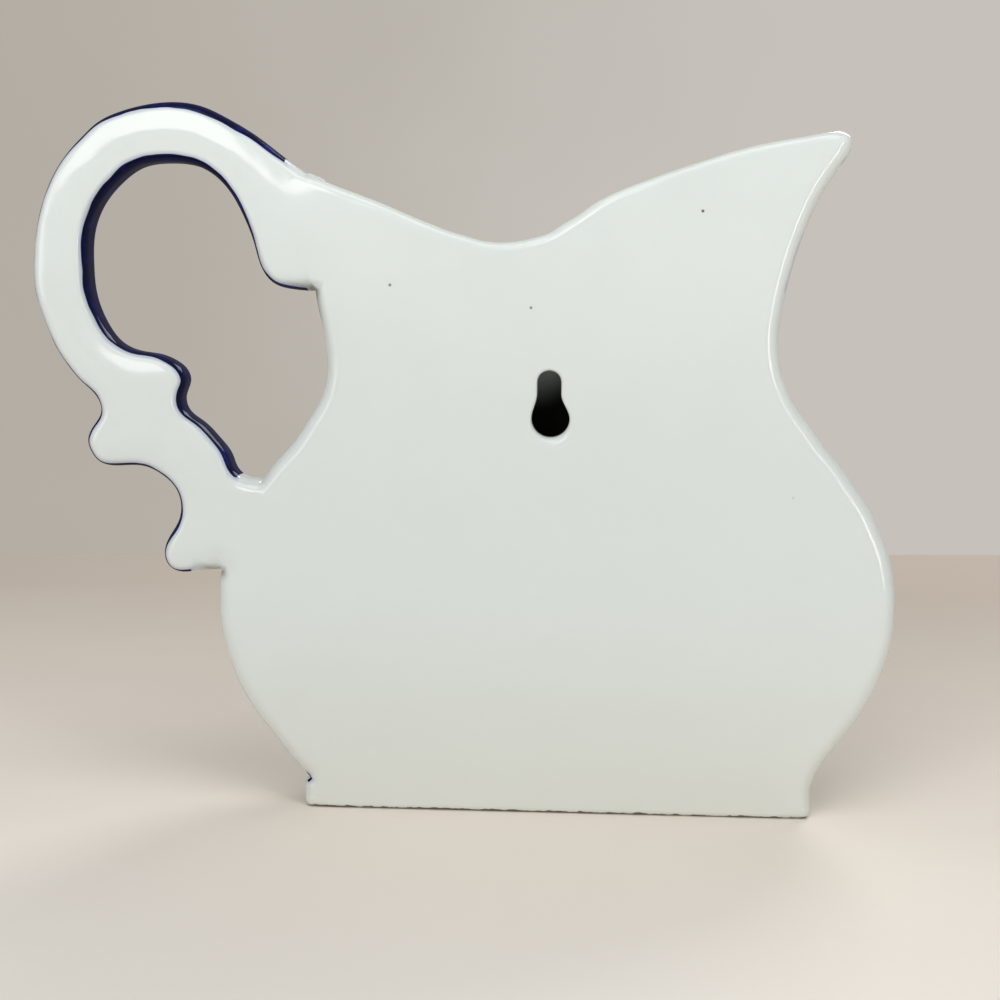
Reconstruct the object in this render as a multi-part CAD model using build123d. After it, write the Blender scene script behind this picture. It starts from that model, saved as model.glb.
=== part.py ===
"""Hanging wall vase: a half jug with a flat back, a scrolled handle and a keyhole to hang it by.

Millimetres. The back lies on the wall plane Y = 0 and the jug bulges towards -Y, with +Z up.
The handle is on the +X side and the spout on the -X side. The origin is the hanging point,
the centre of the keyhole's round upper end, on the back plane.
"""

import os
from math import cos, pi, sin

from build123d import *

# Heights above the surface that the vase stands on
hang_height = 91.5
spout_height = 143.1
rim_low_height = 120.1
handle_top_height = 148.1
handle_low_height = 49.9
foot_height = 6.0

# Reaches sideways from the hanging point
spout_reach = 60.6
belly_reach_spout_side = 73.0
belly_reach_handle_side = 69.5
foot_reach_spout_side = 56.8
foot_reach_handle_side = 51.2
handle_root_reach = 50.0
handle_reach = 108.3

# Depths forward from the wall plane
belly_depth = 42.0
foot_depth = 34.0
handle_thickness = 10.5

# Walls and roundings of the jug
back_thickness = 4.2
shell_wall = 3.8
back_corner_radius = 3.2
inner_corner_radius = 2.4
back_rim_radius = 1.8
front_rim_radius = 1.6
inner_rim_radius = 0.6
spout_tip_radius = 2.0

# Foot
foot_corner_radius = 3.0
foot_edge_radius = 1.0
foot_recess_depth = 1.4
foot_ring_width = 5.0
foot_seam_width = 2.0

# Keyhole
keyhole_slot_radius = 2.5
keyhole_slot_drop = 2.4
keyhole_bulb_radius = 3.95
keyhole_bulb_drop = 7.5
keyhole_bulb_offset = 0.35
keyhole_lip_radius = 1.0

# Handle
handle_back_radius = 1.2
handle_front_radius = 2.6

# Room that cuts and trims run past what they cut
overrun = 10.0

# Outline of the jug from the foot's top up: height as a share of the rise from the foot to the
# spout, the reach on the handle's side and on the spout's side as shares of the belly's reach,
# and the depth as a share of the belly's depth
jug_shares = (
    (0.000, 0.705, 0.778, 0.740),
    (0.029, 0.768, 0.797, 0.786),
    (0.069, 0.836, 0.847, 0.844),
    (0.120, 0.912, 0.914, 0.906),
    (0.186, 0.971, 0.971, 0.965),
    (0.259, 1.000, 1.000, 1.000),
    (0.332, 0.996, 0.993, 0.987),
    (0.405, 0.944, 0.949, 0.932),
    (0.478, 0.852, 0.864, 0.846),
    (0.551, 0.738, 0.755, 0.744),
    (0.624, 0.672, 0.669, 0.655),
    (0.682, 0.676, 0.645, 0.606),
    (0.740, 0.700, 0.654, 0.592),
    (0.799, 0.724, 0.677, 0.605),
    (0.857, 0.744, 0.711, 0.640),
    (0.915, 0.760, 0.760, 0.690),
    (0.945, 0.766, 0.796, 0.718),
    (0.974, 0.771, 0.830, 0.747),
    (1.003, 0.776, 0.846, 0.776),
    (1.032, 0.780, 0.852, 0.805),
)
# How square the front's curve is at its two ends, at the foot and at the spout: 2 is an ellipse
handle_side_fullness_share = 2.3
spout_side_fullness_shares = (2.3, 1.8)
front_points = 9

# Rim from the handle to the spout: reach as a share of the spout's, towards the spout, and height
# as a share of the rise from the rim's lowest point to the spout
rim_shares = (
    (-0.957, 0.757),
    (-0.858, 0.620),
    (-0.759, 0.508),
    (-0.594, 0.350),
    (-0.429, 0.174),
    (-0.297, 0.057),
    (-0.182, 0.000),
    (-0.066, 0.039),
    (0.050, 0.187),
    (0.182, 0.409),
    (0.330, 0.570),
    (0.495, 0.722),
    (0.677, 0.865),
    (0.842, 0.948),
)

# Handle outlines: reach as a share of the way from the handle's root to its outermost point, and
# height as a share of the way from its lowest scallop to its top. Both end inside the jug's outline.
handle_outer_shares = (
    (-0.069, 0.818),
    (0.031, 0.860),
    (0.091, 0.885),
    (0.202, 0.934),
    (0.305, 0.970),
    (0.395, 0.993),
    (0.503, 1.000),
    (0.599, 0.993),
    (0.689, 0.978),
    (0.761, 0.957),
    (0.812, 0.930),
    (0.861, 0.900),
    (0.923, 0.847),
    (0.961, 0.795),
    (0.988, 0.733),
    (1.000, 0.668),
    (0.995, 0.598),
    (0.965, 0.540),
    (0.920, 0.478),
    (0.872, 0.436),
    (0.832, 0.409),
    (0.782, 0.380),
    (0.765, 0.347),
    (0.796, 0.315),
    (0.815, 0.285),
    (0.804, 0.261),
    (0.772, 0.238),
    (0.679, 0.231),
    (0.611, 0.230),
    (0.547, 0.213),
    (0.497, 0.185),
    (0.477, 0.148),
    (0.489, 0.110),
    (0.522, 0.077),
    (0.539, 0.047),
    (0.521, 0.013),
    (0.479, 0.001),
    (0.421, 0.004),
    (0.342, 0.007),
    (0.206, 0.011),
)
handle_inner_shares = (
    (0.103, 0.180),
    (0.202, 0.205),
    (0.245, 0.209),
    (0.281, 0.226),
    (0.302, 0.256),
    (0.343, 0.289),
    (0.407, 0.327),
    (0.457, 0.351),
    (0.470, 0.380),
    (0.453, 0.416),
    (0.465, 0.438),
    (0.511, 0.460),
    (0.547, 0.469),
    (0.628, 0.477),
    (0.698, 0.494),
    (0.756, 0.537),
    (0.796, 0.600),
    (0.805, 0.664),
    (0.799, 0.728),
    (0.757, 0.791),
    (0.688, 0.838),
    (0.619, 0.866),
    (0.520, 0.876),
    (0.400, 0.867),
    (0.307, 0.828),
    (0.244, 0.768),
    (0.204, 0.708),
    (0.173, 0.652),
    (0.134, 0.625),
    (0.070, 0.613),
    (-0.103, 0.611),
)

base_level = -hang_height
foot_top_level = base_level + foot_height
spout_level = base_level + spout_height
rim_low_level = base_level + rim_low_height


def front_curve(handle_side, spout_side, start_depth, full_depth, spout_fullness):
    """The bulging front of a level section, from the handle's side round to the spout's side."""
    middle = (handle_side - spout_side) / 2
    points = []
    for step in range(front_points):
        angle = pi * step / (front_points - 1)
        fullness = handle_side_fullness_share if angle < pi / 2 else spout_fullness
        half_width = handle_side - middle
        across = abs(cos(angle)) ** (2 / fullness) * half_width
        if angle > pi / 2:
            across = -across
        forward = abs(sin(angle)) ** (2 / fullness) * (full_depth - start_depth)
        points.append((middle + across, -start_depth - forward))
    points[-1] = (-spout_side, -start_depth)
    return Spline(*points, tangents=((0, -1), (0, 1)), tangent_scalars=(1, 1))


def level_section(level, handle_side, spout_side, back, depth, corner, spout_fullness):
    """A flat-backed level face with rounded back corners."""
    side_start = back + corner
    back_line = Line((-spout_side + corner, -back), (handle_side - corner, -back))
    handle_corner = CenterArc((handle_side - corner, -side_start), corner, 90, -90)
    front = front_curve(handle_side, spout_side, side_start, depth, spout_fullness)
    spout_corner = CenterArc((-spout_side + corner, -side_start), corner, 180, -90)
    face = make_face([back_line, handle_corner, front, spout_corner])
    return Pos(0, 0, level) * face


def jug_form(inset, back, corner):
    """The jug's closed form up past its rim, drawn in all round by an inset."""
    rise = spout_height - foot_height
    low_fullness, high_fullness = spout_side_fullness_shares
    sections = []
    for height_share, handle_share, spout_share, depth_share in jug_shares:
        sections.append(
            level_section(
                foot_top_level + rise * height_share,
                belly_reach_handle_side * handle_share - inset,
                belly_reach_spout_side * spout_share - inset,
                back,
                belly_depth * depth_share - inset,
                corner,
                low_fullness + (high_fullness - low_fullness) * min(height_share, 1),
            )
        )
    return loft(sections)


def rim_profile():
    """Everything below the rim, as a face on the wall plane."""
    rise = spout_height - rim_low_height
    points = [(-spout_reach * across, rim_low_level + rise * up) for across, up in rim_shares]
    tip_top = (-spout_reach + spout_tip_radius, spout_level)
    tip_side = (-spout_reach, spout_level - spout_tip_radius)
    rim = Spline(*points, tip_top, tangents=((-1, -rise / spout_reach), (-1, 0)), tangent_scalars=(1, 1))
    tip = CenterArc((tip_top[0], tip_side[1]), spout_tip_radius, 90, 90)
    far_left = belly_reach_handle_side + overrun
    far_right = -belly_reach_spout_side - overrun
    shoulder = tip_side[1] - 2 * spout_tip_radius
    floor = base_level - overrun
    rest = Polyline(
        tip_side,
        (-spout_reach, shoulder),
        (far_right, shoulder),
        (far_right, floor),
        (far_left, floor),
        (far_left, points[0][1] + overrun),
        (points[0][0], points[0][1] + overrun),
        points[0],
    )
    return Plane.XZ * make_face([rim, tip, rest])


def foot_section(inset, back):
    """A level section of the foot at the surface that the vase stands on."""
    return level_section(
        base_level,
        foot_reach_handle_side - inset,
        foot_reach_spout_side - inset,
        back,
        foot_depth - inset,
        foot_corner_radius,
        handle_side_fullness_share,
    )


def foot_form():
    """The foot's whole plinth, with the part of it that belongs to the back wall."""
    plinth = extrude(foot_section(0, 0), foot_height)
    return fillet(plinth.edges().group_by(Axis.Z)[0], foot_edge_radius)


def keyhole_face():
    """The keyhole on the wall plane: a slot that swells into a round bulb."""
    bulb_left = keyhole_bulb_radius - keyhole_bulb_offset
    bulb_right = -keyhole_bulb_radius - keyhole_bulb_offset
    down = (0, -1)
    up = (0, 1)
    edges = [
        CenterArc((0, 0), keyhole_slot_radius, 0, 180),
        Line((-keyhole_slot_radius, 0), (-keyhole_slot_radius, -keyhole_slot_drop)),
        Spline(
            (-keyhole_slot_radius, -keyhole_slot_drop),
            (bulb_right, -keyhole_bulb_drop),
            tangents=(down, down),
        ),
        CenterArc((-keyhole_bulb_offset, -keyhole_bulb_drop), keyhole_bulb_radius, 180, 180),
        Spline(
            (bulb_left, -keyhole_bulb_drop),
            (keyhole_slot_radius, -keyhole_slot_drop),
            tangents=(up, up),
        ),
        Line((keyhole_slot_radius, -keyhole_slot_drop), (keyhole_slot_radius, 0)),
    ]
    return Plane.XZ * make_face(edges)


def round_rim_slab():
    """A slab of the back wall's thickness, cut and rounded along the rim."""
    slab = extrude(rim_profile(), back_thickness)
    rim_edges = slab.edges().filter_by(GeomType.BSPLINE).sort_by(Axis.Y)
    slab = fillet(rim_edges[-1], back_rim_radius)
    rim_edges = slab.edges().filter_by(GeomType.BSPLINE).sort_by(Axis.Y)
    return fillet(rim_edges[0], inner_rim_radius)


def build_back_wall(jug, plinth):
    """The flat back wall with its keyhole, down to the surface that the vase stands on."""
    slab = round_rim_slab() - extrude(keyhole_face(), back_thickness)
    keyhole_low = -keyhole_bulb_drop - keyhole_bulb_radius
    lip = slab.edges().filter_by_position(Axis.Y, 0, 0).filter_by(
        lambda edge: keyhole_low <= edge.center().Z <= keyhole_slot_radius
        and abs(edge.center().X) <= keyhole_bulb_radius + keyhole_bulb_offset
    )
    slab = fillet(lip, keyhole_lip_radius)
    return (jug & slab) + (plinth & slab)


def build_front_shell(jug):
    """The bulging front wall, open at the mouth and standing on the foot."""
    front_room = extrude(rim_profile(), belly_depth + overrun)
    front = jug & (Pos(0, -back_thickness, 0) * front_room)
    rim_edges = front.edges().filter_by_position(Axis.Z, rim_low_level, spout_level)
    front = fillet(rim_edges.sort_by(SortBy.LENGTH)[-1], front_rim_radius)
    shell = front - jug_form(shell_wall, back_thickness, inner_corner_radius)
    rim_floor = rim_low_level - shell_wall
    rim_edges = shell.edges().filter_by(lambda edge: edge.bounding_box().min.Z > rim_floor)
    long_edges = rim_edges.sort_by(SortBy.LENGTH)[-3:]
    return fillet(long_edges.sort_by(Axis.Y)[-1], inner_rim_radius)


def build_foot(plinth):
    """The plinth that closes the pocket, with a standing ring round a shallow recess."""
    behind = Pos(0, -back_thickness / 2, base_level + foot_height / 2) * Box(
        2 * (foot_reach_spout_side + overrun), back_thickness, foot_height + overrun
    )
    recess = extrude(foot_section(foot_ring_width, back_thickness + foot_seam_width), foot_recess_depth)
    foot = plinth - behind - recess
    top_edges = foot.edges().group_by(Axis.Z)[-1]
    return fillet(top_edges.sort_by(SortBy.LENGTH)[-1], foot_edge_radius)


def handle_points(shares):
    """Points of a handle outline in millimetres on the wall plane."""
    across = handle_reach - handle_root_reach
    rise = handle_top_height - handle_low_height
    low_level = base_level + handle_low_height
    return [(handle_root_reach + across * x, low_level + rise * z) for x, z in shares]


def build_handle(jug):
    """The scrolled handle, cut to sit against the jug at its two ends."""
    outer = handle_points(handle_outer_shares)
    inner = handle_points(handle_inner_shares)
    edges = [
        Spline(*outer),
        Line(outer[-1], inner[0]),
        Spline(*inner),
        Line(inner[-1], outer[0]),
    ]
    handle = extrude(Plane.XZ * make_face(edges), handle_thickness)
    curved = handle.edges().filter_by(GeomType.BSPLINE).group_by(Axis.Y)
    handle = fillet(curved[-1], handle_back_radius)
    curved = handle.edges().filter_by(GeomType.BSPLINE).group_by(Axis.Y)
    handle = fillet(curved[0], handle_front_radius)
    return handle - jug


def build_vase():
    """Every piece of the vase, by name."""
    jug = jug_form(0, 0, back_corner_radius)
    plinth = foot_form()
    return {
        "back_wall": build_back_wall(jug, plinth),
        "front_shell": build_front_shell(jug),
        "foot": build_foot(plinth),
        "handle": build_handle(jug),
    }


if __name__ == "__main__":
    os.makedirs("parts", exist_ok=True)
    for name, piece in build_vase().items():
        export_step(piece, f"parts/{name}.step")
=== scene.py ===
"""A hanging wall vase: a slip-cast half jug with a flat back, a keyhole and a scrolled blue handle.

Lengths in the classes are in millimetres. The meshes are made in metres, in the frame of the CAD.
"""

import logging
import math
from dataclasses import dataclass, field
from enum import Enum

import bmesh
import bpy
import numpy as np
from mathutils import Matrix, Vector
from mathutils.geometry import delaunay_2d_cdt
from mathutils.kdtree import KDTree

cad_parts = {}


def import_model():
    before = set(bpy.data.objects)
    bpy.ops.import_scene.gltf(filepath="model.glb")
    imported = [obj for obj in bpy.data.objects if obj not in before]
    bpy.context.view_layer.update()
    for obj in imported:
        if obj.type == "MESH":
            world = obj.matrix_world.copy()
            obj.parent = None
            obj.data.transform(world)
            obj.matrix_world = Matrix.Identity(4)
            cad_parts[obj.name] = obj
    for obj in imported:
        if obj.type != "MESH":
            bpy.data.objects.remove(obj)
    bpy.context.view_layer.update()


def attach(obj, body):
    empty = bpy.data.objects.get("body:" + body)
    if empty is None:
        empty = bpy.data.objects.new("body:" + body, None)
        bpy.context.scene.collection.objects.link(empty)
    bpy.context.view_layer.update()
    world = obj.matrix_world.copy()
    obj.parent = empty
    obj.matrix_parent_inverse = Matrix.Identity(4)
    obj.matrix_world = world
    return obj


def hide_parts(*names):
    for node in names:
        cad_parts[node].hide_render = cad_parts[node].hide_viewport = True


LOG = logging.getLogger("wall_vase")
MM = 0.001

# The level that the foot stands on, below the keyhole.
BASE_LEVEL = -91.5

# Jug sections, bottom to top: share of the rise above the foot, of the belly's reach on the
# handle's side and on the spout's side, and of its depth.
JUG_SHARES = (
    (0.000, 0.722, 0.778, 0.740),
    (0.029, 0.775, 0.797, 0.786),
    (0.069, 0.837, 0.847, 0.844),
    (0.120, 0.912, 0.914, 0.906),
    (0.186, 0.971, 0.971, 0.965),
    (0.259, 1.000, 1.000, 1.000),
    (0.332, 0.996, 0.993, 0.987),
    (0.405, 0.944, 0.949, 0.932),
    (0.478, 0.852, 0.864, 0.846),
    (0.551, 0.738, 0.755, 0.744),
    (0.624, 0.672, 0.669, 0.655),
    (0.682, 0.676, 0.645, 0.606),
    (0.740, 0.700, 0.654, 0.592),
    (0.799, 0.724, 0.677, 0.605),
    (0.857, 0.744, 0.711, 0.640),
    (0.915, 0.760, 0.760, 0.690),
    (0.945, 0.766, 0.796, 0.718),
    (0.974, 0.771, 0.830, 0.747),
    (1.003, 0.776, 0.846, 0.776),
    (1.032, 0.780, 0.852, 0.805),
)

# The rim from the handle's side to the spout: share of the spout's reach and of the rise.
RIM_SHARES = (
    (-0.957, 0.757),
    (-0.858, 0.620),
    (-0.759, 0.508),
    (-0.594, 0.350),
    (-0.429, 0.174),
    (-0.297, 0.057),
    (-0.182, 0.000),
    (-0.066, 0.039),
    (0.050, 0.187),
    (0.182, 0.409),
    (0.330, 0.570),
    (0.495, 0.722),
    (0.677, 0.865),
    (0.842, 0.948),
    (0.967, 1.000),
)

# The handle's outlines in shares of its reach from the root and of its rise.
HANDLE_OUTER = (
    (-0.069, 0.818), (0.031, 0.860), (0.091, 0.885), (0.202, 0.934), (0.305, 0.970),
    (0.395, 0.993), (0.503, 1.000), (0.599, 0.993), (0.689, 0.978), (0.761, 0.957),
    (0.812, 0.930), (0.861, 0.900), (0.923, 0.847), (0.961, 0.795), (0.988, 0.733),
    (1.000, 0.668), (0.995, 0.598), (0.965, 0.540), (0.920, 0.478), (0.872, 0.436),
    (0.832, 0.409), (0.782, 0.380), (0.765, 0.347), (0.796, 0.315), (0.815, 0.285),
    (0.804, 0.261), (0.772, 0.238), (0.679, 0.231), (0.611, 0.230), (0.547, 0.213),
    (0.497, 0.185), (0.477, 0.148), (0.489, 0.110), (0.522, 0.077), (0.539, 0.047),
    (0.521, 0.013), (0.479, 0.001), (0.421, 0.004), (0.342, 0.007), (0.206, 0.011),
)
HANDLE_INNER = (
    (0.103, 0.180), (0.202, 0.205), (0.245, 0.209), (0.281, 0.226), (0.302, 0.256),
    (0.343, 0.289), (0.407, 0.327), (0.457, 0.351), (0.470, 0.380), (0.453, 0.416),
    (0.465, 0.438), (0.511, 0.460), (0.547, 0.469), (0.628, 0.477), (0.698, 0.494),
    (0.756, 0.537), (0.796, 0.600), (0.805, 0.664), (0.799, 0.728), (0.757, 0.791),
    (0.688, 0.838), (0.619, 0.866), (0.520, 0.876), (0.400, 0.867), (0.307, 0.828),
    (0.244, 0.768), (0.204, 0.708), (0.173, 0.652), (0.134, 0.625), (0.070, 0.613),
    (-0.103, 0.611),
)

# The front's sprig, one brush stroke a row: middle as x and z, half length, half width, and
# turn in degrees. A flower of six petals on a stem, with leaves and two buds.
PETAL_TURNS = tuple(math.pi * (k + 0.5) / 3 for k in range(6))
BRUSH_STROKES = (
    *((8.0 * math.cos(a) - 2.0, 8.0 * math.sin(a) - 27.0, 5.2, 2.4, math.degrees(a)) for a in PETAL_TURNS),
    (-2.0, -27.0, 1.7, 1.7, 0.0),
    (-0.3, -52.5, 17.5, 0.85, 97.0),
    (12.0, -49.0, 9.0, 2.6, 22.0),
    (-13.0, -54.0, 9.5, 2.6, 152.0),
    (11.0, -64.0, 7.5, 2.1, 28.0),
    (-7.0, -68.0, 6.5, 1.9, 148.0),
    (10.8, -38.6, 16.5, 0.75, 49.0),
    (21.0, -26.5, 3.6, 2.2, 52.0),
    (-12.2, -39.6, 16.8, 0.75, 137.0),
    (-23.5, -28.5, 3.6, 2.2, 128.0),
)
# The front's painted lines below the rim, as the level of the middle and half the width.
PAINTED_LINES = ((17.0, 0.75), (13.8, 0.3), (-83.6, 0.8))

# Iron specks that show on the back, as x and z.
BACK_SPECKS = ((33.1, 19.6), (4.0, 15.3), (-30.6, 35.2), (-50.7, -23.1))

# The studio's lamps: name, place and target in metres, width and height in metres, watts, colour.
LAMPS = (
    ("overhead", (0.0, 0.28, 0.62), (0.0, 0.0, 0.0), (0.6, 0.4), 1.7, "#ffffff"),
    ("window", (0.52, 1.30, 0.57), (0.05, 0.0, 0.05), (0.8, 0.6), 7.0, "#ffffff"),
    ("window_side", (1.05, 1.10, 0.15), (0.05, 0.0, 0.0), (0.3, 0.6), 1.7, "#ffffff"),
    ("strip", (-0.95, 1.0, 0.3), (0.0, 0.0, 0.0), (0.12, 0.7), 1.8, "#fdfaf4"),
    ("front", (-0.55, -1.15, 0.85), (0.0, 0.0, -0.03), (0.6, 0.45), 8.0, "#ffffff"),
    ("card", (-0.34, 0.40, -0.01), (-0.06, 0.0, 0.03), (0.05, 0.15), 0.22, "#fdfaf4"),
)

# A Map Range node that eases in and out.
SMOOTH = {"interpolation_type": "SMOOTHSTEP"}

# Marks of a slab's points that lie on no row along an edge.
ON_JOINT, IN_GRID = -1.0, -2.0


class EdgeRound(Enum):
    """How far an outline is rounded towards the wall, in millimetres."""

    SIDE = 3.2
    RIM = 1.8
    FOOT = 3.0
    BASE = 1.1
    KEYHOLE = 0.6
    HANDLE = 1.9


def linear(code: str) -> tuple[float, float, float, float]:
    """Turns an sRGB hex colour into the linear values that shaders take.

    Args:
        code: Six hex digits after a hash.

    Returns:
        Red, green, blue and an alpha of 1.
    """
    parts = [int(code[i : i + 2], 16) / 255 for i in (1, 3, 5)]
    red, green, blue = (p / 12.92 if p <= 0.04045 else ((p + 0.055) / 1.055) ** 2.4 for p in parts)
    return red, green, blue, 1.0


def add_node(
    tree: bpy.types.NodeTree, kind: str, inputs: dict | tuple | list = (), **settings: object
) -> bpy.types.Node:
    """Adds a node, with its settings, values and links.

    Args:
        tree: The node tree.
        kind: The node's type.
        inputs: Values, sockets or nodes by input name or index, or in order.
        **settings: Properties of the node.

    Returns:
        The new node.
    """
    node = tree.nodes.new(kind)
    for name, value in settings.items():
        setattr(node, name, value)
    pairs = inputs.items() if isinstance(inputs, dict) else enumerate(inputs)
    for key, value in pairs:
        socket = node.inputs[key]
        if isinstance(value, bpy.types.Node):
            value = next(s for s in value.outputs if s.enabled)
        if isinstance(value, bpy.types.NodeSocket):
            tree.links.new(value, socket)
        else:
            socket.default_value = value
    return node


def begin_tree(
    name: str, inputs: dict[str, float | int | None], outputs: dict[str, str]
) -> tuple[bpy.types.NodeTree, bpy.types.bpy_prop_collection]:
    """Starts a Geometry Nodes tree.

    Args:
        name: The tree's name.
        inputs: Each input's value by name. A whole number makes it a count, and None a material.
        outputs: Each output's kind by name.

    Returns:
        The tree, and the sockets that give its inputs.
    """
    tree = bpy.data.node_groups.new(name, "GeometryNodeTree")
    for title, value in inputs.items():
        kind = {int: "Int", float: "Float"}.get(type(value), "Material")
        socket = tree.interface.new_socket(title, in_out="INPUT", socket_type="NodeSocket" + kind)
        if value is not None:
            socket.default_value = value
    for title, kind in outputs.items():
        tree.interface.new_socket(title, in_out="OUTPUT", socket_type="NodeSocket" + kind)
    return tree, add_node(tree, "NodeGroupInput").outputs


def set_curve(node: bpy.types.Node, points: list[tuple[float, float]]) -> None:
    """Draws a Float Curve node's line through points that rise in x.

    Args:
        node: The Float Curve node.
        points: Pairs of shares from 0 to 1.
    """
    curve = node.mapping.curves[0]
    for x, y in points[1:-1]:
        curve.points.new(x, y)
    curve.points[0].location = points[0]
    curve.points[len(points) - 1].location = points[-1]
    node.mapping.update()


def smooth_line(points: np.ndarray, spacing: float) -> np.ndarray:
    """Samples a natural cubic spline through points.

    Args:
        points: Points in order, one row each.
        spacing: Distance between samples along the line.

    Returns:
        Evenly spaced samples, both ends included.
    """
    steps = np.linalg.norm(np.diff(points, axis=0), axis=1)
    along = np.concatenate(([0], np.cumsum(steps)))
    count = len(points)
    matrix = np.eye(count)
    pull = np.zeros_like(points)
    for i in range(1, count - 1):
        matrix[i, i - 1 : i + 2] = steps[i - 1], 2 * (steps[i - 1] + steps[i]), steps[i]
        slopes = (points[i + 1] - points[i]) / steps[i], (points[i] - points[i - 1]) / steps[i - 1]
        pull[i] = 6 * (slopes[0] - slopes[1])
    bend = np.linalg.solve(matrix, pull)
    fine = np.linspace(0, along[-1], 40 * count)
    i = np.clip(np.searchsorted(along, fine, side="right") - 1, 0, count - 2)
    h = steps[i][:, None]
    t = (fine - along[i])[:, None]
    s = h - t
    line = (bend[i] * s**3 + bend[i + 1] * t**3) / (6 * h)
    line += (points[i] / h - bend[i] * h / 6) * s + (points[i + 1] / h - bend[i + 1] * h / 6) * t
    return even_line(line, spacing)


def even_line(line: np.ndarray, spacing: float) -> np.ndarray:
    """Samples a polyline at an even spacing.

    Args:
        line: The polyline's points.
        spacing: Distance between samples.

    Returns:
        The samples, both ends included.
    """
    along = np.concatenate(([0], np.cumsum(np.linalg.norm(np.diff(line, axis=0), axis=1))))
    count = max(2, round(along[-1] / spacing) + 1)
    wanted = np.linspace(0, along[-1], count)
    return np.column_stack([np.interp(wanted, along, line[:, k]) for k in range(line.shape[1])])


def inside(points: np.ndarray, loop: np.ndarray) -> np.ndarray:
    """Tells which points lie inside a closed loop.

    Args:
        points: Points to test.
        loop: The loop's points in order.

    Returns:
        One boolean for each point.
    """
    result = np.zeros(len(points), dtype=bool)
    x, z = points[:, 0], points[:, 1]
    for (x1, z1), (x2, z2) in zip(loop, np.roll(loop, -1, axis=0)):
        if z1 == z2:
            continue
        crosses = (z1 > z) != (z2 > z)
        result ^= crosses & (x < (x2 - x1) * (z - z1) / (z2 - z1) + x1)
    return result


def wall_object(name: str, vertices: np.ndarray, faces: list, sharp: float = 40.0) -> bpy.types.Object:
    """Makes an object from points in millimetres, closed and with normals outwards.

    Args:
        name: The piece's name.
        vertices: Points in the frame of the CAD.
        faces: Vertex indices of each face.
        sharp: Edges that turn by more than this many degrees stay crisp.

    Returns:
        The new object, linked to the scene.
    """
    mesh = bpy.data.meshes.new(name)
    mesh.from_pydata((np.asarray(vertices) * MM).tolist(), [], faces)
    finish_mesh(mesh, sharp)
    piece = bpy.data.objects.new(name, mesh)
    bpy.context.scene.collection.objects.link(piece)
    return piece


def finish_mesh(mesh: bpy.types.Mesh, sharp: float) -> None:
    """Closes a mesh's open loops, turns its faces outwards and shades it smooth.

    Args:
        mesh: The mesh to finish.
        sharp: Edges that turn by more than this many degrees stay crisp.
    """
    body = bmesh.new()
    body.from_mesh(mesh)
    open_edges = [e for e in body.edges if e.is_boundary]
    if open_edges:
        made = bmesh.ops.holes_fill(body, edges=open_edges, sides=0)
        bmesh.ops.triangulate(body, faces=made["faces"])
    bmesh.ops.recalc_face_normals(body, faces=body.faces)
    body.to_mesh(mesh)
    body.free()
    mesh.shade_smooth()
    mesh.set_sharp_from_angle(angle=math.radians(sharp))


def store(piece: bpy.types.Object, name: str, values: np.ndarray) -> None:
    """Stores one number at each vertex of a piece, for its material to read."""
    attribute = piece.data.attributes.new(name, "FLOAT", "POINT")
    attribute.data.foreach_set("value", np.asarray(values, dtype=np.float32))


def read(piece: bpy.types.Object, name: str) -> np.ndarray:
    """Reads one number at each vertex of a piece."""
    attribute = piece.data.attributes[name]
    values = np.zeros(len(attribute.data), dtype=np.int32 if attribute.data_type == "INT" else np.float32)
    attribute.data.foreach_get("value", values)
    return values


def places(piece: bpy.types.Object) -> np.ndarray:
    """A piece's vertices in millimetres."""
    values = np.zeros(3 * len(piece.data.vertices))
    piece.data.vertices.foreach_get("co", values)
    return values.reshape(-1, 3) / MM


def grown(name: str, tree: bpy.types.NodeTree, sizes: dict[str, object]) -> bpy.types.Object:
    """Runs a Geometry Nodes tree on an empty mesh and keeps the plain mesh that it grows.

    Args:
        name: The piece's name.
        tree: The tree, which has named inputs.
        sizes: Values of those inputs by name.

    Returns:
        The new object, with no modifier.
    """
    seed = bpy.data.objects.new(name, bpy.data.meshes.new(name + "_seed"))
    bpy.context.scene.collection.objects.link(seed)
    modifier = seed.modifiers.new("Growth", "NODES")
    modifier.node_group = tree
    for item in tree.interface.items_tree:
        if item.in_out == "INPUT" and item.name in sizes:
            modifier[item.identifier] = sizes[item.name]
    evaluated = seed.evaluated_get(bpy.context.evaluated_depsgraph_get())
    mesh = bpy.data.meshes.new_from_object(evaluated)
    seed.modifiers.remove(modifier)
    mesh.name = name
    mesh.materials.clear()
    mesh.materials.append(sizes["Glaze"])
    mesh.polygons.foreach_set("material_index", [0] * len(mesh.polygons))
    seed.data = mesh
    return seed


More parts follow.
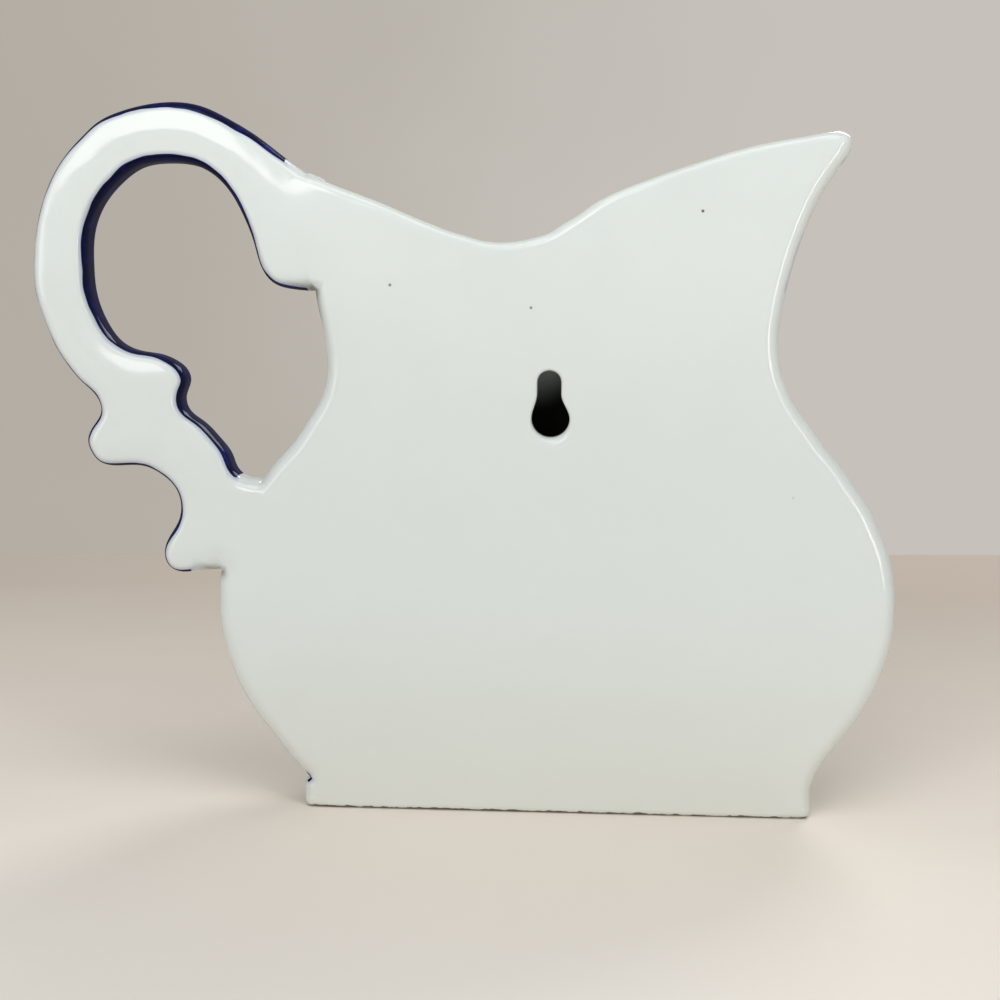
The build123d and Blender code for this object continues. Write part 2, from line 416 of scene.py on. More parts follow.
@dataclass
class Line:
    """A stretch of outline on the wall plane, with how it is rounded.

    Attributes:
        points: Samples as (x, z).
        back: Rounding towards the wall at each sample.
        front: Rounding towards the room at each sample.
        crown: How much the back swells there, from 0 for flat to 1.
        joint: True where a sample lies against another piece.
    """

    points: np.ndarray
    back: np.ndarray
    front: np.ndarray
    crown: np.ndarray
    joint: np.ndarray

    @classmethod
    def plain(cls, points: np.ndarray, back: EdgeRound, front: float = 0.0) -> "Line":
        """A line with the same rounding all along it."""
        count = len(points)
        crown = 1.0 if back is EdgeRound.HANDLE else 0.0
        return cls(
            points,
            np.full(count, back.value),
            np.full(count, front),
            np.full(count, crown),
            np.zeros(count, dtype=bool),
        )

    def columns(self) -> tuple[np.ndarray, ...]:
        """The samples' points, roundings, crowns and joints."""
        return self.points, self.back, self.front, self.crown, self.joint

    def part(self, keep: np.ndarray) -> "Line":
        """The chosen samples of the line."""
        return Line(*(column[keep] for column in self.columns()))

    @staticmethod
    def joined(*lines: "Line") -> "Line":
        """Lines one after another, as one line."""
        return Line(*(np.concatenate(column) for column in zip(*(line.columns() for line in lines))))

    def thinned(self, gap: float) -> "Line":
        """A closed line without the samples that nearly touch the one before."""
        step = np.linalg.norm(self.points - np.roll(self.points, 1, axis=0), axis=1)
        return self.part(step > gap)

    def eased(self, reach: int) -> "Line":
        """A closed line whose rounding changes gently, over this many samples each way."""
        weights = np.hanning(2 * reach + 3)[1:-1]
        weights /= weights.sum()
        soft = [
            np.convolve(np.concatenate((values[-reach:], values, values[:reach])), weights, mode="valid")
            for values in (self.back, self.front, self.crown)
        ]
        return Line(self.points, *soft, self.joint)

    def normals(self) -> np.ndarray:
        """Unit vectors to the left of a closed line at its samples."""
        ahead = np.roll(self.points, -1, axis=0) - np.roll(self.points, 1, axis=0)
        ahead /= np.linalg.norm(ahead, axis=1)[:, None]
        return np.column_stack((-ahead[:, 1], ahead[:, 0]))

    def area(self) -> float:
        """Signed area of a closed line, above zero when it runs counterclockwise."""
        x, z = self.points.T
        return 0.5 * float(np.sum(x * np.roll(z, -1) - np.roll(x, -1) * z))


class EdgeMap:
    """Finds the nearest place on rounded outlines."""

    def __init__(self, lines: list[Line], front: bool) -> None:
        """Takes in the outlines.

        Args:
            lines: Closed outlines, whose samples against other pieces are left out.
            front: True for the rounding towards the room.
        """
        points, rounds = [], []
        for line in lines:
            radius = line.front if front else line.back
            crown = np.zeros(len(radius)) if front else line.crown
            values = np.column_stack((line.points, radius, crown))
            keep = ~line.joint & ~np.roll(line.joint, -1) & (radius > 0)
            for share in np.linspace(0, 1, 8, endpoint=False):
                between = (values + share * (np.roll(values, -1, axis=0) - values))[keep]
                points.append(between[:, :2])
                rounds.append(between[:, 2:])
        self.rounds = np.concatenate(rounds)
        self.tree = point_tree(np.concatenate(points))

    def nearest(self, points: np.ndarray) -> tuple[np.ndarray, np.ndarray, np.ndarray]:
        """Finds distance, rounding and crown for points.

        Args:
            points: Points on the wall plane.

        Returns:
            The distance to the outlines, and the rounding and the crown there.
        """
        found = [self.tree.find((x, z, 0)) for x, z in points]
        radius, crown = self.rounds[[f[1] for f in found]].T
        return np.array([f[2] for f in found]), radius, crown


def point_tree(points: np.ndarray) -> KDTree:
    """A search tree of points on the wall plane."""
    tree = KDTree(len(points))
    for i, (x, z) in enumerate(points):
        tree.insert((x, z, 0), i)
    tree.balance()
    return tree


def fall(distance: np.ndarray, radius: np.ndarray, crown: np.ndarray) -> np.ndarray:
    """How far a face falls over its rounded edge.

    Args:
        distance: Distance inwards from the outline.
        radius: How far in from the outline the rounding starts.
        crown: 0 for a plain round edge, 1 for the handle's, which turns deeper than it is wide.

    Returns:
        Depths below the face.
    """
    short = 1 - np.minimum(distance / np.maximum(radius, 1e-6), 1)
    return radius * (1 + 0.75 * crown) * (1 - np.sqrt(np.maximum(1 - short**2, 0)))


class Swell:
    """The handle's swelling back, highest along its middle and fading out on the jug."""

    def __init__(self, union: list[Line], height: float, half_width: float, ease: float) -> None:
        """Draws the swell on a grid over the handle and smooths it.

        Args:
            union: The outlines of jug and handle together.
            height: How far the back falls from the handle's middle to its edge.
            half_width: Half the handle's width.
            ease: Over what distance the swell is smoothed.
        """
        crowned = np.concatenate([line.points[line.crown > 0.01] for line in union])
        self.step = 0.5
        self.low = crowned.min(axis=0) - 6 * ease
        counts = np.ceil((crowned.max(axis=0) + 6 * ease - self.low) / self.step).astype(int)
        across, up = (self.low[k] + self.step * np.arange(counts[k]) for k in (0, 1))
        spots = np.column_stack([axis.ravel() for axis in np.meshgrid(across, up, indexing="ij")])
        distance, _, crown = EdgeMap(union, front=False).nearest(spots)
        clay = np.logical_xor.reduce([inside(spots, line.points) for line in union])
        depth = height * crown * (1 - np.minimum(np.where(clay, distance, 0) / half_width, 1)) ** 2
        reach = math.ceil(3 * ease / self.step)
        weights = np.exp(-0.5 * (np.arange(-reach, reach + 1) * self.step / ease) ** 2)
        weights /= weights.sum()
        self.depth = depth.reshape(counts)
        for axis in (0, 1):
            self.depth = np.apply_along_axis(np.convolve, axis, self.depth, weights, mode="same")

    def at(self, points: np.ndarray) -> np.ndarray:
        """How far the back has fallen at points on the wall plane."""
        place = (points - self.low) / self.step
        last = np.array(self.depth.shape) - 2
        off = ((place < 0) | (place > last)).any(axis=1)
        cell = np.clip(np.floor(place).astype(int), 0, last)
        (i, j), (u, v) = cell.T, (place - cell).T
        near = (1 - v) * self.depth[i, j] + v * self.depth[i, j + 1]
        far = (1 - v) * self.depth[i + 1, j] + v * self.depth[i + 1, j + 1]
        return np.where(off, 0.0, (1 - u) * near + u * far)


@dataclass(frozen=True)
class Crease:
    """A shallow furrow where the handle was luted on, from one end to the other.

    Attributes:
        start: Where it is deepest, as (x, z).
        end: Where it fades out.
        depth: How deep it is.
        width: How wide it is to each side.
        stain_and_shade: How dirty the furrow is, with painted shade, up to 1.
    """

    start: tuple[float, float]
    end: tuple[float, float]
    depth: float
    width: float
    # How dirty the furrow is and how much painted shade lies in it.
    stain_and_shade: float = 0.0

    def nearness(self, points: np.ndarray) -> np.ndarray:
        """How near points on the back are to the furrow, up to 1, fading towards its end."""
        a, b = np.array(self.start), np.array(self.end)
        share = np.clip((points - a) @ (b - a) / ((b - a) @ (b - a)), 0, 1)
        gap = np.linalg.norm(points - a - share[:, None] * (b - a), axis=1)
        return np.clip(1.6 * (1 - share), 0, 1) * np.exp(-((gap / self.width) ** 2))


# The furrows at the two joints. Some are darkened with grime and with painted shade, and one is only a dark
# line of grime and painted shade.
CREASES = (
    Crease((50.3, 18.4), (52.3, 31.0), 0.5, 1.4),
    Crease((69.6, -41.0), (68.9, -35.0), 0.5, 1.2),
    Crease((49.6, 18.2), (57.5, 19.0), 0.3, 1.4, 0.8),
    Crease((49.2, 18.6), (47.4, 8.0), 0.0, 0.8, 0.8),
    Crease((68.8, -41.2), (75.5, -39.6), 0.25, 1.1, 0.65),
)


@dataclass
class ClaySlab:
    """A flat piece of clay with rounded edges.

    Attributes:
        name: The piece's name.
        loops: Its closed outlines, the outer one first and the holes after it.
        edges: The outlines that its back is rounded along, with the pieces joined to it.
        thickness: From the wall plane to its front face.
        spacing: Between the points inside its faces.
        swell: The swelling of its back.
        creases: Furrows in its back.
        embed: How far its front goes on past its joints, under another piece's surface.
        turns: Rows of points round each edge.
        rows: Where more rows follow, past the rounding.
    """

    name: str
    loops: list[Line]
    edges: list[Line]
    thickness: float
    spacing: float
    swell: Swell
    creases: tuple[Crease, ...] = CREASES
    embed: float = 0.0
    turns: int = 7
    rows: tuple[float, ...] = (0.5, 1.2, 2.2, 3.6)

    def inward(self, loop: Line, hole: bool) -> np.ndarray:
        """Unit vectors into the clay at a loop's samples."""
        return loop.normals() * (1 if (loop.area() > 0) != hole else -1)

    def within(self, points: np.ndarray, loops: list[np.ndarray]) -> np.ndarray:
        """Tells which points lie in the clay."""
        result = inside(points, loops[0])
        for hole in loops[1:]:
            result &= ~inside(points, hole)
        return result

    def face(self, front: bool) -> tuple[np.ndarray, np.ndarray, list, list[np.ndarray]]:
        """Builds one face of the slab.

        Args:
            front: True for the face towards the room.

        Returns:
            Points with their depth behind the face's plane, distance inwards from the
            outline, triangles, and the indices of each loop's points.
        """
        shift = np.array([self.embed if front else 0.0, 0.0])
        lines = [loop.points - shift * loop.joint[:, None] for loop in self.loops]
        points, nominal, rounds = self.spots(lines, front)
        own = np.concatenate([even_line(np.concatenate((line, line[:1])), 0.06) for line in lines])
        own_tree = point_tree(own)
        gap = np.array([own_tree.find((x, z, 0))[2] for x, z in points])
        edge_map = EdgeMap(self.loops if front else self.edges, front)
        distance, radius, crown = edge_map.nearest(points)
        # A row's point is dropped where another edge is nearer than its own.
        least = np.minimum(0.93 * nominal, nominal - 0.02)
        room = np.where(nominal > 0, least, np.where(nominal == IN_GRID, 0.45 * self.spacing, 0.04))
        keep = self.within(points, lines) & (gap >= room)
        keep &= (nominal < 0) | (distance >= least)
        keep[: sum(len(line) for line in lines)] = True
        distance = np.where(nominal < 0, distance, nominal)
        falls = fall(distance, np.where(nominal < 0, radius, rounds), crown)
        points, falls, distance = points[keep], falls[keep], distance[keep]
        borders, constraints, start = [], [], 0
        for line in lines:
            index = np.arange(start, start + len(line))
            borders.append(index)
            constraints += list(zip(index.tolist(), np.roll(index, -1).tolist()))
            start += len(line)
        flat = [Vector(point) for point in points.tolist()]
        _, _, triangles, origin, _, _ = delaunay_2d_cdt(flat, constraints, [], 0, 1e-6, True)
        source = np.array([o[0] if o else -1 for o in origin])
        triangles = source[np.array([t for t in triangles if len(t) == 3])]
        triangles = triangles[(triangles >= 0).all(axis=1)]
        triangles = triangles[self.within(points[triangles].mean(axis=1), lines)]
        if not front:
            falls += self.swell.at(points)
            for crease in self.creases:
                falls += crease.depth * crease.nearness(points)
        return np.column_stack((points, falls)), distance, triangles.tolist(), borders

    def spots(self, lines: list[np.ndarray], front: bool) -> tuple[np.ndarray, np.ndarray, np.ndarray]:
        """Lays out one face's points: on its outlines, in rows along them, and on a grid.

        Args:
            lines: The outlines, the samples on them first in the result.
            front: True for the face towards the room.

        Returns:
            The points, the distance inwards at which each was laid or ON_JOINT or IN_GRID, and
            the rounding of the edge that it was laid along.
        """
        spots = list(lines)
        nominal = [np.where(loop.joint, ON_JOINT, 0.0) for loop in self.loops]
        rounds = [loop.front if front else loop.back for loop in self.loops]
        for number, loop in enumerate(self.loops):
            radius = loop.front if front else loop.back
            turn_in = self.inward(loop, number > 0)
            bends = [1 - math.cos(math.pi / 2 * k / self.turns) for k in range(1, self.turns + 1)]
            steps = [radius * bend for bend in bends] + [radius + extra for extra in self.rows]
            keep = ~loop.joint & (radius > 0)
            for step in steps:
                spots.append((loop.points + turn_in * step[:, None])[keep])
                nominal.append(step[keep])
                rounds.append(radius[keep])
        low, high = lines[0].min(axis=0), lines[0].max(axis=0)
        axes = [np.arange(low[k], high[k], self.spacing) for k in (0, 1)]
        grid = np.column_stack([axis.ravel() for axis in np.meshgrid(*axes)])
        grid = grid[self.within(grid, lines)]
        nominal.append(np.full(len(grid), IN_GRID))
        rounds.append(np.zeros(len(grid)))
        return np.concatenate([*spots, grid]), np.concatenate(nominal), np.concatenate(rounds)

    def build(self) -> bpy.types.Object:
        """Builds the slab as a closed mesh.

        Returns:
            The object. Its attribute edge_mm is the distance inwards from the outline on the
            back, and below zero on the flanks and the front. Its attribute dirt_and_shade is grime and
            painted shade, up to 1.
        """
        back, back_gap, back_faces, back_borders = self.face(front=False)
        front, _, front_faces, front_borders = self.face(front=True)
        back_points = np.column_stack((back[:, 0], -back[:, 2], back[:, 1]))
        front_points = np.column_stack((front[:, 0], front[:, 2] - self.thickness, front[:, 1]))
        vertices = [back_points, front_points]
        offset = len(back_points)
        total = offset + len(front_points)
        faces = back_faces + [[i + offset for i in face] for face in front_faces]
        edge = [back_gap, front_points[:, 1]]
        for back_loop, front_loop in zip(back_borders, front_borders):
            top, bottom = back_points[back_loop], front_points[front_loop]
            steps = max(1, round(float(np.mean(top[:, 1] - bottom[:, 1])) / 1.5))
            rings = [back_loop]
            for k in range(1, steps):
                vertices.append(top + (bottom - top) * k / steps)
                edge.append(vertices[-1][:, 1] - top[:, 1])
                rings.append(np.arange(total, total + len(back_loop)))
                total += len(back_loop)
            rings.append(front_loop + offset)
            for one, two in zip(rings, rings[1:]):
                corners = np.column_stack((one, np.roll(one, -1), np.roll(two, -1), two))
                faces += corners.tolist()
        piece = wall_object(self.name, np.concatenate(vertices), faces)
        store(piece, "edge_mm", np.concatenate(edge))
        spot = places(piece)[:, [0, 2]]
        # Grime and painted shade in the furrows of the joints.
        dirt_and_shade = np.sum([crease.stain_and_shade * crease.nearness(spot) for crease in self.creases], axis=0)
        store(piece, "dirt_and_shade", np.minimum(dirt_and_shade, 1.0))
        return piece


@dataclass
class JugForm:
    """The jug's shape, which the front shell and the back wall share."""

    base_level: float = BASE_LEVEL
    foot_height: float = 6.0
    spout_height: float = 143.1
    rim_low_height: float = 120.1
    spout_reach: float = 60.6
    belly_handle_side: float = 69.5
    belly_spout_side: float = 73.0
    belly_depth: float = 42.0
    back_thickness: float = 4.2
    shell_wall: float = 3.8
    inner_corner: float = 2.4
    top_share: float = 1.04

    @property
    def foot_top(self) -> float:
        """Level of the foot's top."""
        return self.base_level + self.foot_height

    @property
    def rim_low(self) -> float:
        """Level of the rim at its lowest."""
        return self.base_level + self.rim_low_height

    @property
    def rim_rise(self) -> float:
        """How far the rim rises from its lowest place to the spout's tip."""
        return self.spout_height - self.rim_low_height

    @property
    def rim_start(self) -> float:
        """Where the rim starts, on the handle's side."""
        return -RIM_SHARES[0][0] * self.spout_reach

    def rim_points(self) -> list[tuple[float, float]]:
        """The rim as shares for a Float Curve: 0 at its handle end, 1 at the spout's tip."""
        start, end = RIM_SHARES[0][0], 1.0
        points = [((x - start) / (end - start), z) for x, z in RIM_SHARES]
        return points + [(1.0, 0.999)]

    def bow_group(self) -> bpy.types.NodeTree:
        """The flat-backed curve that every level section of the jug and the foot is drawn with.

        Returns:
            A group that gives a point on the curve from its angle, its reaches and its depth.
        """
        sizes = ("Angle", "Handle side", "Spout side", "Depth", "Back", "Roundness", "Corner")
        tree, given = begin_tree("Flat-backed bow", dict.fromkeys(sizes, 0.0), {"Point": "Vector"})
        math_node = "ShaderNodeMath"
        cosine = add_node(tree, math_node, [given["Angle"]], operation="COSINE")
        sine = add_node(tree, math_node, [given["Angle"]], operation="SINE")
        side = add_node(tree, math_node, [cosine], operation="SIGN")
        cosine = add_node(tree, math_node, [cosine], operation="ABSOLUTE")
        sine = add_node(tree, math_node, [sine], operation="ABSOLUTE")
        # The curve is a plain ellipse at its foremost point and squarer towards its sides.
        near_front = add_node(tree, math_node, [sine, 8.0], operation="POWER")
        squareness = add_node(tree, math_node, [given["Roundness"], 1.0], operation="SUBTRACT")
        away = add_node(tree, math_node, [1.0, near_front], operation="SUBTRACT")
        power = add_node(tree, math_node, [squareness, away, 1.0], operation="MULTIPLY_ADD")
        across = add_node(tree, math_node, [cosine, power], operation="POWER")
        forward = add_node(tree, math_node, [sine, power], operation="POWER")
        room = add_node(tree, math_node, [given["Depth"], given["Back"]], operation="SUBTRACT")
        forward = add_node(tree, math_node, [forward, room], operation="MULTIPLY")
        reach = add_node(tree, math_node, [given["Handle side"], given["Spout side"]], operation="ADD")
        half = add_node(tree, math_node, [reach, 0.5], operation="MULTIPLY")
        middle = add_node(tree, math_node, [given["Handle side"], half], operation="SUBTRACT")
        # The pocket's corner against the back wall is filled by a quarter round.
        short = add_node(tree, math_node, [given["Corner"], forward], operation="SUBTRACT")
        short = add_node(tree, math_node, [short, 0.0], operation="MAXIMUM")
        short = add_node(tree, math_node, [short, short], operation="MULTIPLY")
        full = add_node(tree, math_node, [given["Corner"], given["Corner"]], operation="MULTIPLY")
        left = add_node(tree, math_node, [full, short], operation="SUBTRACT")
        left = add_node(tree, math_node, [left, 0.0], operation="MAXIMUM")
        left = add_node(tree, math_node, [left], operation="SQRT")
        fillet = add_node(tree, math_node, [given["Corner"], left], operation="SUBTRACT")
        across = add_node(tree, math_node, [across, half], operation="MULTIPLY")
        across = add_node(tree, math_node, [across, fillet], operation="SUBTRACT")
        across = add_node(tree, math_node, [across, side, middle], operation="MULTIPLY_ADD")
        deep = add_node(tree, math_node, [forward, given["Back"]], operation="ADD")
        deep = add_node(tree, math_node, [deep, -1.0], operation="MULTIPLY")
        point = add_node(tree, "ShaderNodeCombineXYZ", [across, deep, 0.0])
        add_node(tree, "NodeGroupOutput", [point])
        return tree

    def section_group(self, bow: bpy.types.NodeTree) -> bpy.types.NodeTree:
        """The jug's level section at any level.

        Args:
            bow: The group that draws a flat-backed curve.

        Returns:
            A group that gives a point on the jug from its angle, its level and an inset.
        """
        sizes = {
            "Angle": 0.0,
            "Level": 0.0,
            "Inset": 0.0,
            "Foot top": self.foot_top,
            "Rise": self.spout_height - self.foot_height,
            "Handle side": self.belly_handle_side,
            "Spout side": self.belly_spout_side,
            "Spout tip": self.spout_reach,
            "Depth": self.belly_depth,
            "Back": self.back_thickness,
            "Corner share": self.inner_corner / self.shell_wall,
        }
        tree, given = begin_tree("Jug section", sizes, {"Point": "Vector"})
        math_node = "ShaderNodeMath"
        height = add_node(tree, math_node, [given["Level"], given["Foot top"]], operation="SUBTRACT")
        height = add_node(tree, math_node, [height, given["Rise"]], operation="DIVIDE")
        share = add_node(tree, math_node, [height, self.top_share], operation="DIVIDE")
        reaches = []
        for column, size in ((1, "Handle side"), (2, "Spout side"), (3, "Depth")):
            curve = add_node(tree, "ShaderNodeFloatCurve", {"Value": share})
            set_curve(curve, [(row[0] / self.top_share, row[column]) for row in JUG_SHARES])
            reach = add_node(tree, math_node, [curve, given[size]], operation="MULTIPLY")
            if size == "Spout side":
                # The spout's tip is cut upright, above the widest part of the belly.
                low = add_node(tree, math_node, [height, 0.9], operation="LESS_THAN")
                spread = [low, given["Spout side"], given["Spout tip"]]
                limit = add_node(tree, math_node, spread, operation="MULTIPLY_ADD")
                reach = add_node(tree, math_node, [reach, limit], operation="MINIMUM")
            reaches.append(add_node(tree, math_node, [reach, given["Inset"]], operation="SUBTRACT"))
        cosine = add_node(tree, math_node, [given["Angle"]], operation="COSINE")
        spout_half = add_node(tree, math_node, [cosine, 0.0], operation="LESS_THAN")
        capped = add_node(tree, math_node, [height, 1.0], operation="MINIMUM")
        beak = add_node(tree, math_node, [capped, spout_half], operation="MULTIPLY")
        fullness = add_node(tree, math_node, [beak, -0.5, 2.3], operation="MULTIPLY_ADD")
        roundness = add_node(tree, math_node, [2.0, fullness], operation="DIVIDE")
        corner = add_node(tree, math_node, [given["Inset"], given["Corner share"]], operation="MULTIPLY")
        curve = add_node(
            tree,
            "GeometryNodeGroup",
            {
                "Angle": given["Angle"],
                "Handle side": reaches[0],
                "Spout side": reaches[1],
                "Depth": reaches[2],
                "Back": given["Back"],
                "Roundness": roundness,
                "Corner": corner,
            },
            node_tree=bow,
        )
        up = add_node(tree, "ShaderNodeCombineXYZ", [0.0, 0.0, given["Level"]])
        point = add_node(tree, "ShaderNodeVectorMath", [curve, up], operation="ADD")
        add_node(tree, "NodeGroupOutput", [point])
        return tree


@dataclass
class FrontShell:
    """The bulging front wall, cast in one piece with its rounded lip."""

    form: JugForm
    columns: int = 250
    outer_rows: int = 190
    lip_rows: int = 16
    inner_rows: int = 70
    floor_rows: int = 4

    @property
    def lip(self) -> float:
        """Radius of the lip, half the wall's thickness."""
        return self.form.shell_wall / 2

    def crown_group(self, section: bpy.types.NodeTree) -> bpy.types.NodeTree:
        """The lip at a level: both walls' points there, the way up, and the rim's level above.

        Args:
            section: The group that draws the jug's level section.

        Returns:
            A group with the angle and the level as inputs.
        """
        sizes = {
            "Angle": 0.0,
            "Level": 0.0,
            "Wall": self.form.shell_wall,
            "Lip radius": self.lip,
            "Rim low": self.form.rim_low,
            "Rim rise": self.form.rim_rise,
            "Rim start": self.form.rim_start,
            "Spout tip": self.form.spout_reach,
        }
        tree, given = begin_tree("Lip", sizes, {"Up": "Vector", "Miss": "Float"})
        math_node, vector_node, group = "ShaderNodeMath", "ShaderNodeVectorMath", "GeometryNodeGroup"
        half_wall = add_node(tree, math_node, [given["Wall"], 0.5], operation="MULTIPLY")
        lower = add_node(tree, math_node, [given["Level"], 1.0], operation="SUBTRACT")
        middle = add_node(
            tree,
            group,
            {"Angle": given["Angle"], "Level": given["Level"], "Inset": half_wall},
            node_tree=section,
        )
        below = add_node(
            tree, group, {"Angle": given["Angle"], "Level": lower, "Inset": half_wall}, node_tree=section
        )
        lean = add_node(tree, vector_node, [middle, below], operation="SUBTRACT")
        up = add_node(tree, vector_node, [lean], operation="NORMALIZE")
        reach = add_node(tree, vector_node, {0: up, "Scale": given["Lip radius"]}, operation="SCALE")
        crown = add_node(tree, vector_node, [middle, reach], operation="ADD")
        crown = add_node(tree, "ShaderNodeSeparateXYZ", [crown])
        run = add_node(tree, math_node, [given["Rim start"], given["Spout tip"]], operation="ADD")
        along = add_node(tree, math_node, [given["Rim start"], crown.outputs["X"]], operation="SUBTRACT")
        along = add_node(tree, math_node, [along, run], operation="DIVIDE")
        rim = add_node(tree, "ShaderNodeFloatCurve", {"Value": along}, name="Rim curve")
        set_curve(rim, self.form.rim_points())
        height = [rim, given["Rim rise"], given["Rim low"]]
        wanted = add_node(tree, math_node, height, operation="MULTIPLY_ADD")
        miss = add_node(tree, math_node, [wanted, crown.outputs["Z"]], operation="SUBTRACT")
        add_node(tree, "NodeGroupOutput", [up, miss])
        return tree

    def lip_levels(
        self,
        tree: bpy.types.NodeTree,
        given: bpy.types.bpy_prop_collection,
        last_column: bpy.types.Node,
        lip: bpy.types.NodeTree,
    ) -> tuple[bpy.types.NodeSocket, bpy.types.Node]:
        """Finds, for each column, the level at which the lip starts.

        Args:
            tree: The shell's tree.
            given: The tree's inputs.
            last_column: The last column's number.
            lip: The group that measures how far a level's lip misses the rim.

        Returns:
            A line with a point for each column, and the attribute that holds its level.
        """
        math_node, store_node = "ShaderNodeMath", "GeometryNodeStoreNamedAttribute"
        line = add_node(tree, "GeometryNodeMeshLine", {"Count": given["Columns"]})
        index = add_node(tree, "GeometryNodeInputIndex")
        angle = add_node(tree, math_node, [index, last_column], operation="DIVIDE")
        angle = add_node(tree, math_node, [angle, math.pi], operation="MULTIPLY")
        guess = {"Geometry": line, "Name": "lip_level", "Value": self.form.rim_low}
        first = add_node(tree, store_node, guess)
        start = add_node(tree, "GeometryNodeRepeatInput")
        end = add_node(tree, "GeometryNodeRepeatOutput")
        start.pair_with_output(end)
        # Each round takes away most of the miss, and 16 leave none that shows.
        start.inputs["Iterations"].default_value = 16
        tree.links.new(first.outputs["Geometry"], start.inputs["Geometry"])
        level = add_node(tree, "GeometryNodeInputNamedAttribute", {"Name": "lip_level"}, data_type="FLOAT")
        test = add_node(tree, "GeometryNodeGroup", {"Angle": angle, "Level": level}, node_tree=lip)
        better = add_node(tree, math_node, [test.outputs["Miss"], 0.7, level], operation="MULTIPLY_ADD")
        step = {"Geometry": start.outputs["Geometry"], "Name": "lip_level", "Value": better}
        kept = add_node(tree, store_node, step)
        tree.links.new(kept.outputs["Geometry"], end.inputs["Geometry"])
        return end.outputs["Geometry"], level

    def tree(self, section: bpy.types.NodeTree, lip: bpy.types.NodeTree) -> bpy.types.NodeTree:
        """Geometry Nodes for the shell: a grid of columns round the bow and rows over the lip.

        Args:
            section: The group that draws the jug's level section.
            lip: The group that measures how far a level's lip misses the rim.

        Returns:
            The tree.
        """
        sizes = {
            "Columns": self.columns,
            "Outer rows": self.outer_rows,
            "Lip rows": self.lip_rows,
            "Inner rows": self.inner_rows,
            "Floor rows": self.floor_rows,
            "Wall": self.form.shell_wall,
            "Lip radius": self.lip,
            "Foot top": self.form.foot_top,
            "Scale": MM,
            "Glaze": None,
        }
        tree, given = begin_tree("Front shell", sizes, {"Geometry": "Geometry"})
        math_node, vector_node, group = "ShaderNodeMath", "ShaderNodeVectorMath", "GeometryNodeGroup"
        last_column = add_node(tree, math_node, [given["Columns"], 1.0], operation="SUBTRACT")
        levels, level = self.lip_levels(tree, given, last_column, lip)
        # Rows run up the outer wall, over the lip, down the inner wall and back under the wall.
        turns = add_node(tree, math_node, [given["Outer rows"], given["Lip rows"]], operation="ADD")
        downs = add_node(tree, math_node, [turns, given["Inner rows"]], operation="ADD")
        last_row = add_node(tree, math_node, [downs, given["Floor rows"]], operation="ADD")
        row_count = add_node(tree, math_node, [last_row, 1.0], operation="ADD")
        grid = add_node(
            tree,
            "GeometryNodeMeshGrid",
            {"Size X": 1.0, "Size Y": 1.0, "Vertices X": given["Columns"], "Vertices Y": row_count},
        )
        spot = add_node(tree, "ShaderNodeSeparateXYZ", [add_node(tree, "GeometryNodeInputPosition")])
        u = add_node(tree, math_node, [spot.outputs["X"], 0.5], operation="ADD")
        v = add_node(tree, math_node, [spot.outputs["Y"], 0.5], operation="ADD")
        column = add_node(tree, math_node, [u, last_column], operation="MULTIPLY")
        column = add_node(tree, math_node, [column], operation="ROUND")
        row = add_node(tree, math_node, [v, last_row], operation="MULTIPLY")
        row = add_node(tree, math_node, [row], operation="ROUND")
        grid = add_node(
            tree, "GeometryNodeStoreNamedAttribute", {"Geometry": grid, "Name": "column", "Value": column}
        )
        # The last row lies on the first, and counts as it.
        round_row = add_node(tree, math_node, [row, last_row], operation="FLOORED_MODULO")
        grid = add_node(
            tree, "GeometryNodeStoreNamedAttribute", {"Geometry": grid, "Name": "row", "Value": round_row}
        )
        stages = []
        for start_row, count in (
            (0.0, given["Outer rows"]),
            (given["Outer rows"], given["Lip rows"]),
            (turns, given["Inner rows"]),
            (downs, given["Floor rows"]),
        ):
            passed = add_node(tree, math_node, [row, start_row], operation="SUBTRACT")
            stages.append(add_node(tree, math_node, [passed, count], operation="DIVIDE", use_clamp=True))
        climb, turn, descend, under = stages
        angle = add_node(tree, math_node, [u, math.pi], operation="MULTIPLY")
        lip_level = add_node(
            tree,
            "GeometryNodeSampleIndex",
            {"Geometry": levels, "Value": level, "Index": column},
        )
        rise = add_node(tree, math_node, [lip_level, given["Foot top"]], operation="SUBTRACT")
        share = add_node(tree, math_node, [climb, descend], operation="SUBTRACT")
        height = add_node(tree, math_node, [rise, share, given["Foot top"]], operation="MULTIPLY_ADD")
        outer = add_node(tree, group, {"Angle": angle, "Level": height}, node_tree=section)
        inner = add_node(
            tree, group, {"Angle": angle, "Level": height, "Inset": given["Wall"]}, node_tree=section
        )
        swing = add_node(tree, math_node, [turn, math.pi], operation="MULTIPLY")
        cosine = add_node(tree, math_node, [swing], operation="COSINE")
        sine = add_node(tree, math_node, [swing], operation="SINE")
        inwards = add_node(tree, math_node, [cosine, -0.5, 0.5], operation="MULTIPLY_ADD")
        inwards = add_node(tree, math_node, [inwards, under], operation="SUBTRACT")
        wall = add_node(tree, "ShaderNodeMix", {"Factor": inwards, 4: outer, 5: inner}, data_type="VECTOR")
        top = add_node(tree, group, {"Angle": angle, "Level": lip_level}, node_tree=lip)
        bulge = add_node(tree, math_node, [sine, given["Lip radius"]], operation="MULTIPLY")
        bulge = add_node(tree, vector_node, {0: top.outputs["Up"], "Scale": bulge}, operation="SCALE")
        point = add_node(tree, vector_node, [wall, bulge], operation="ADD")
        point = add_node(tree, vector_node, {0: point, "Scale": given["Scale"]}, operation="SCALE")
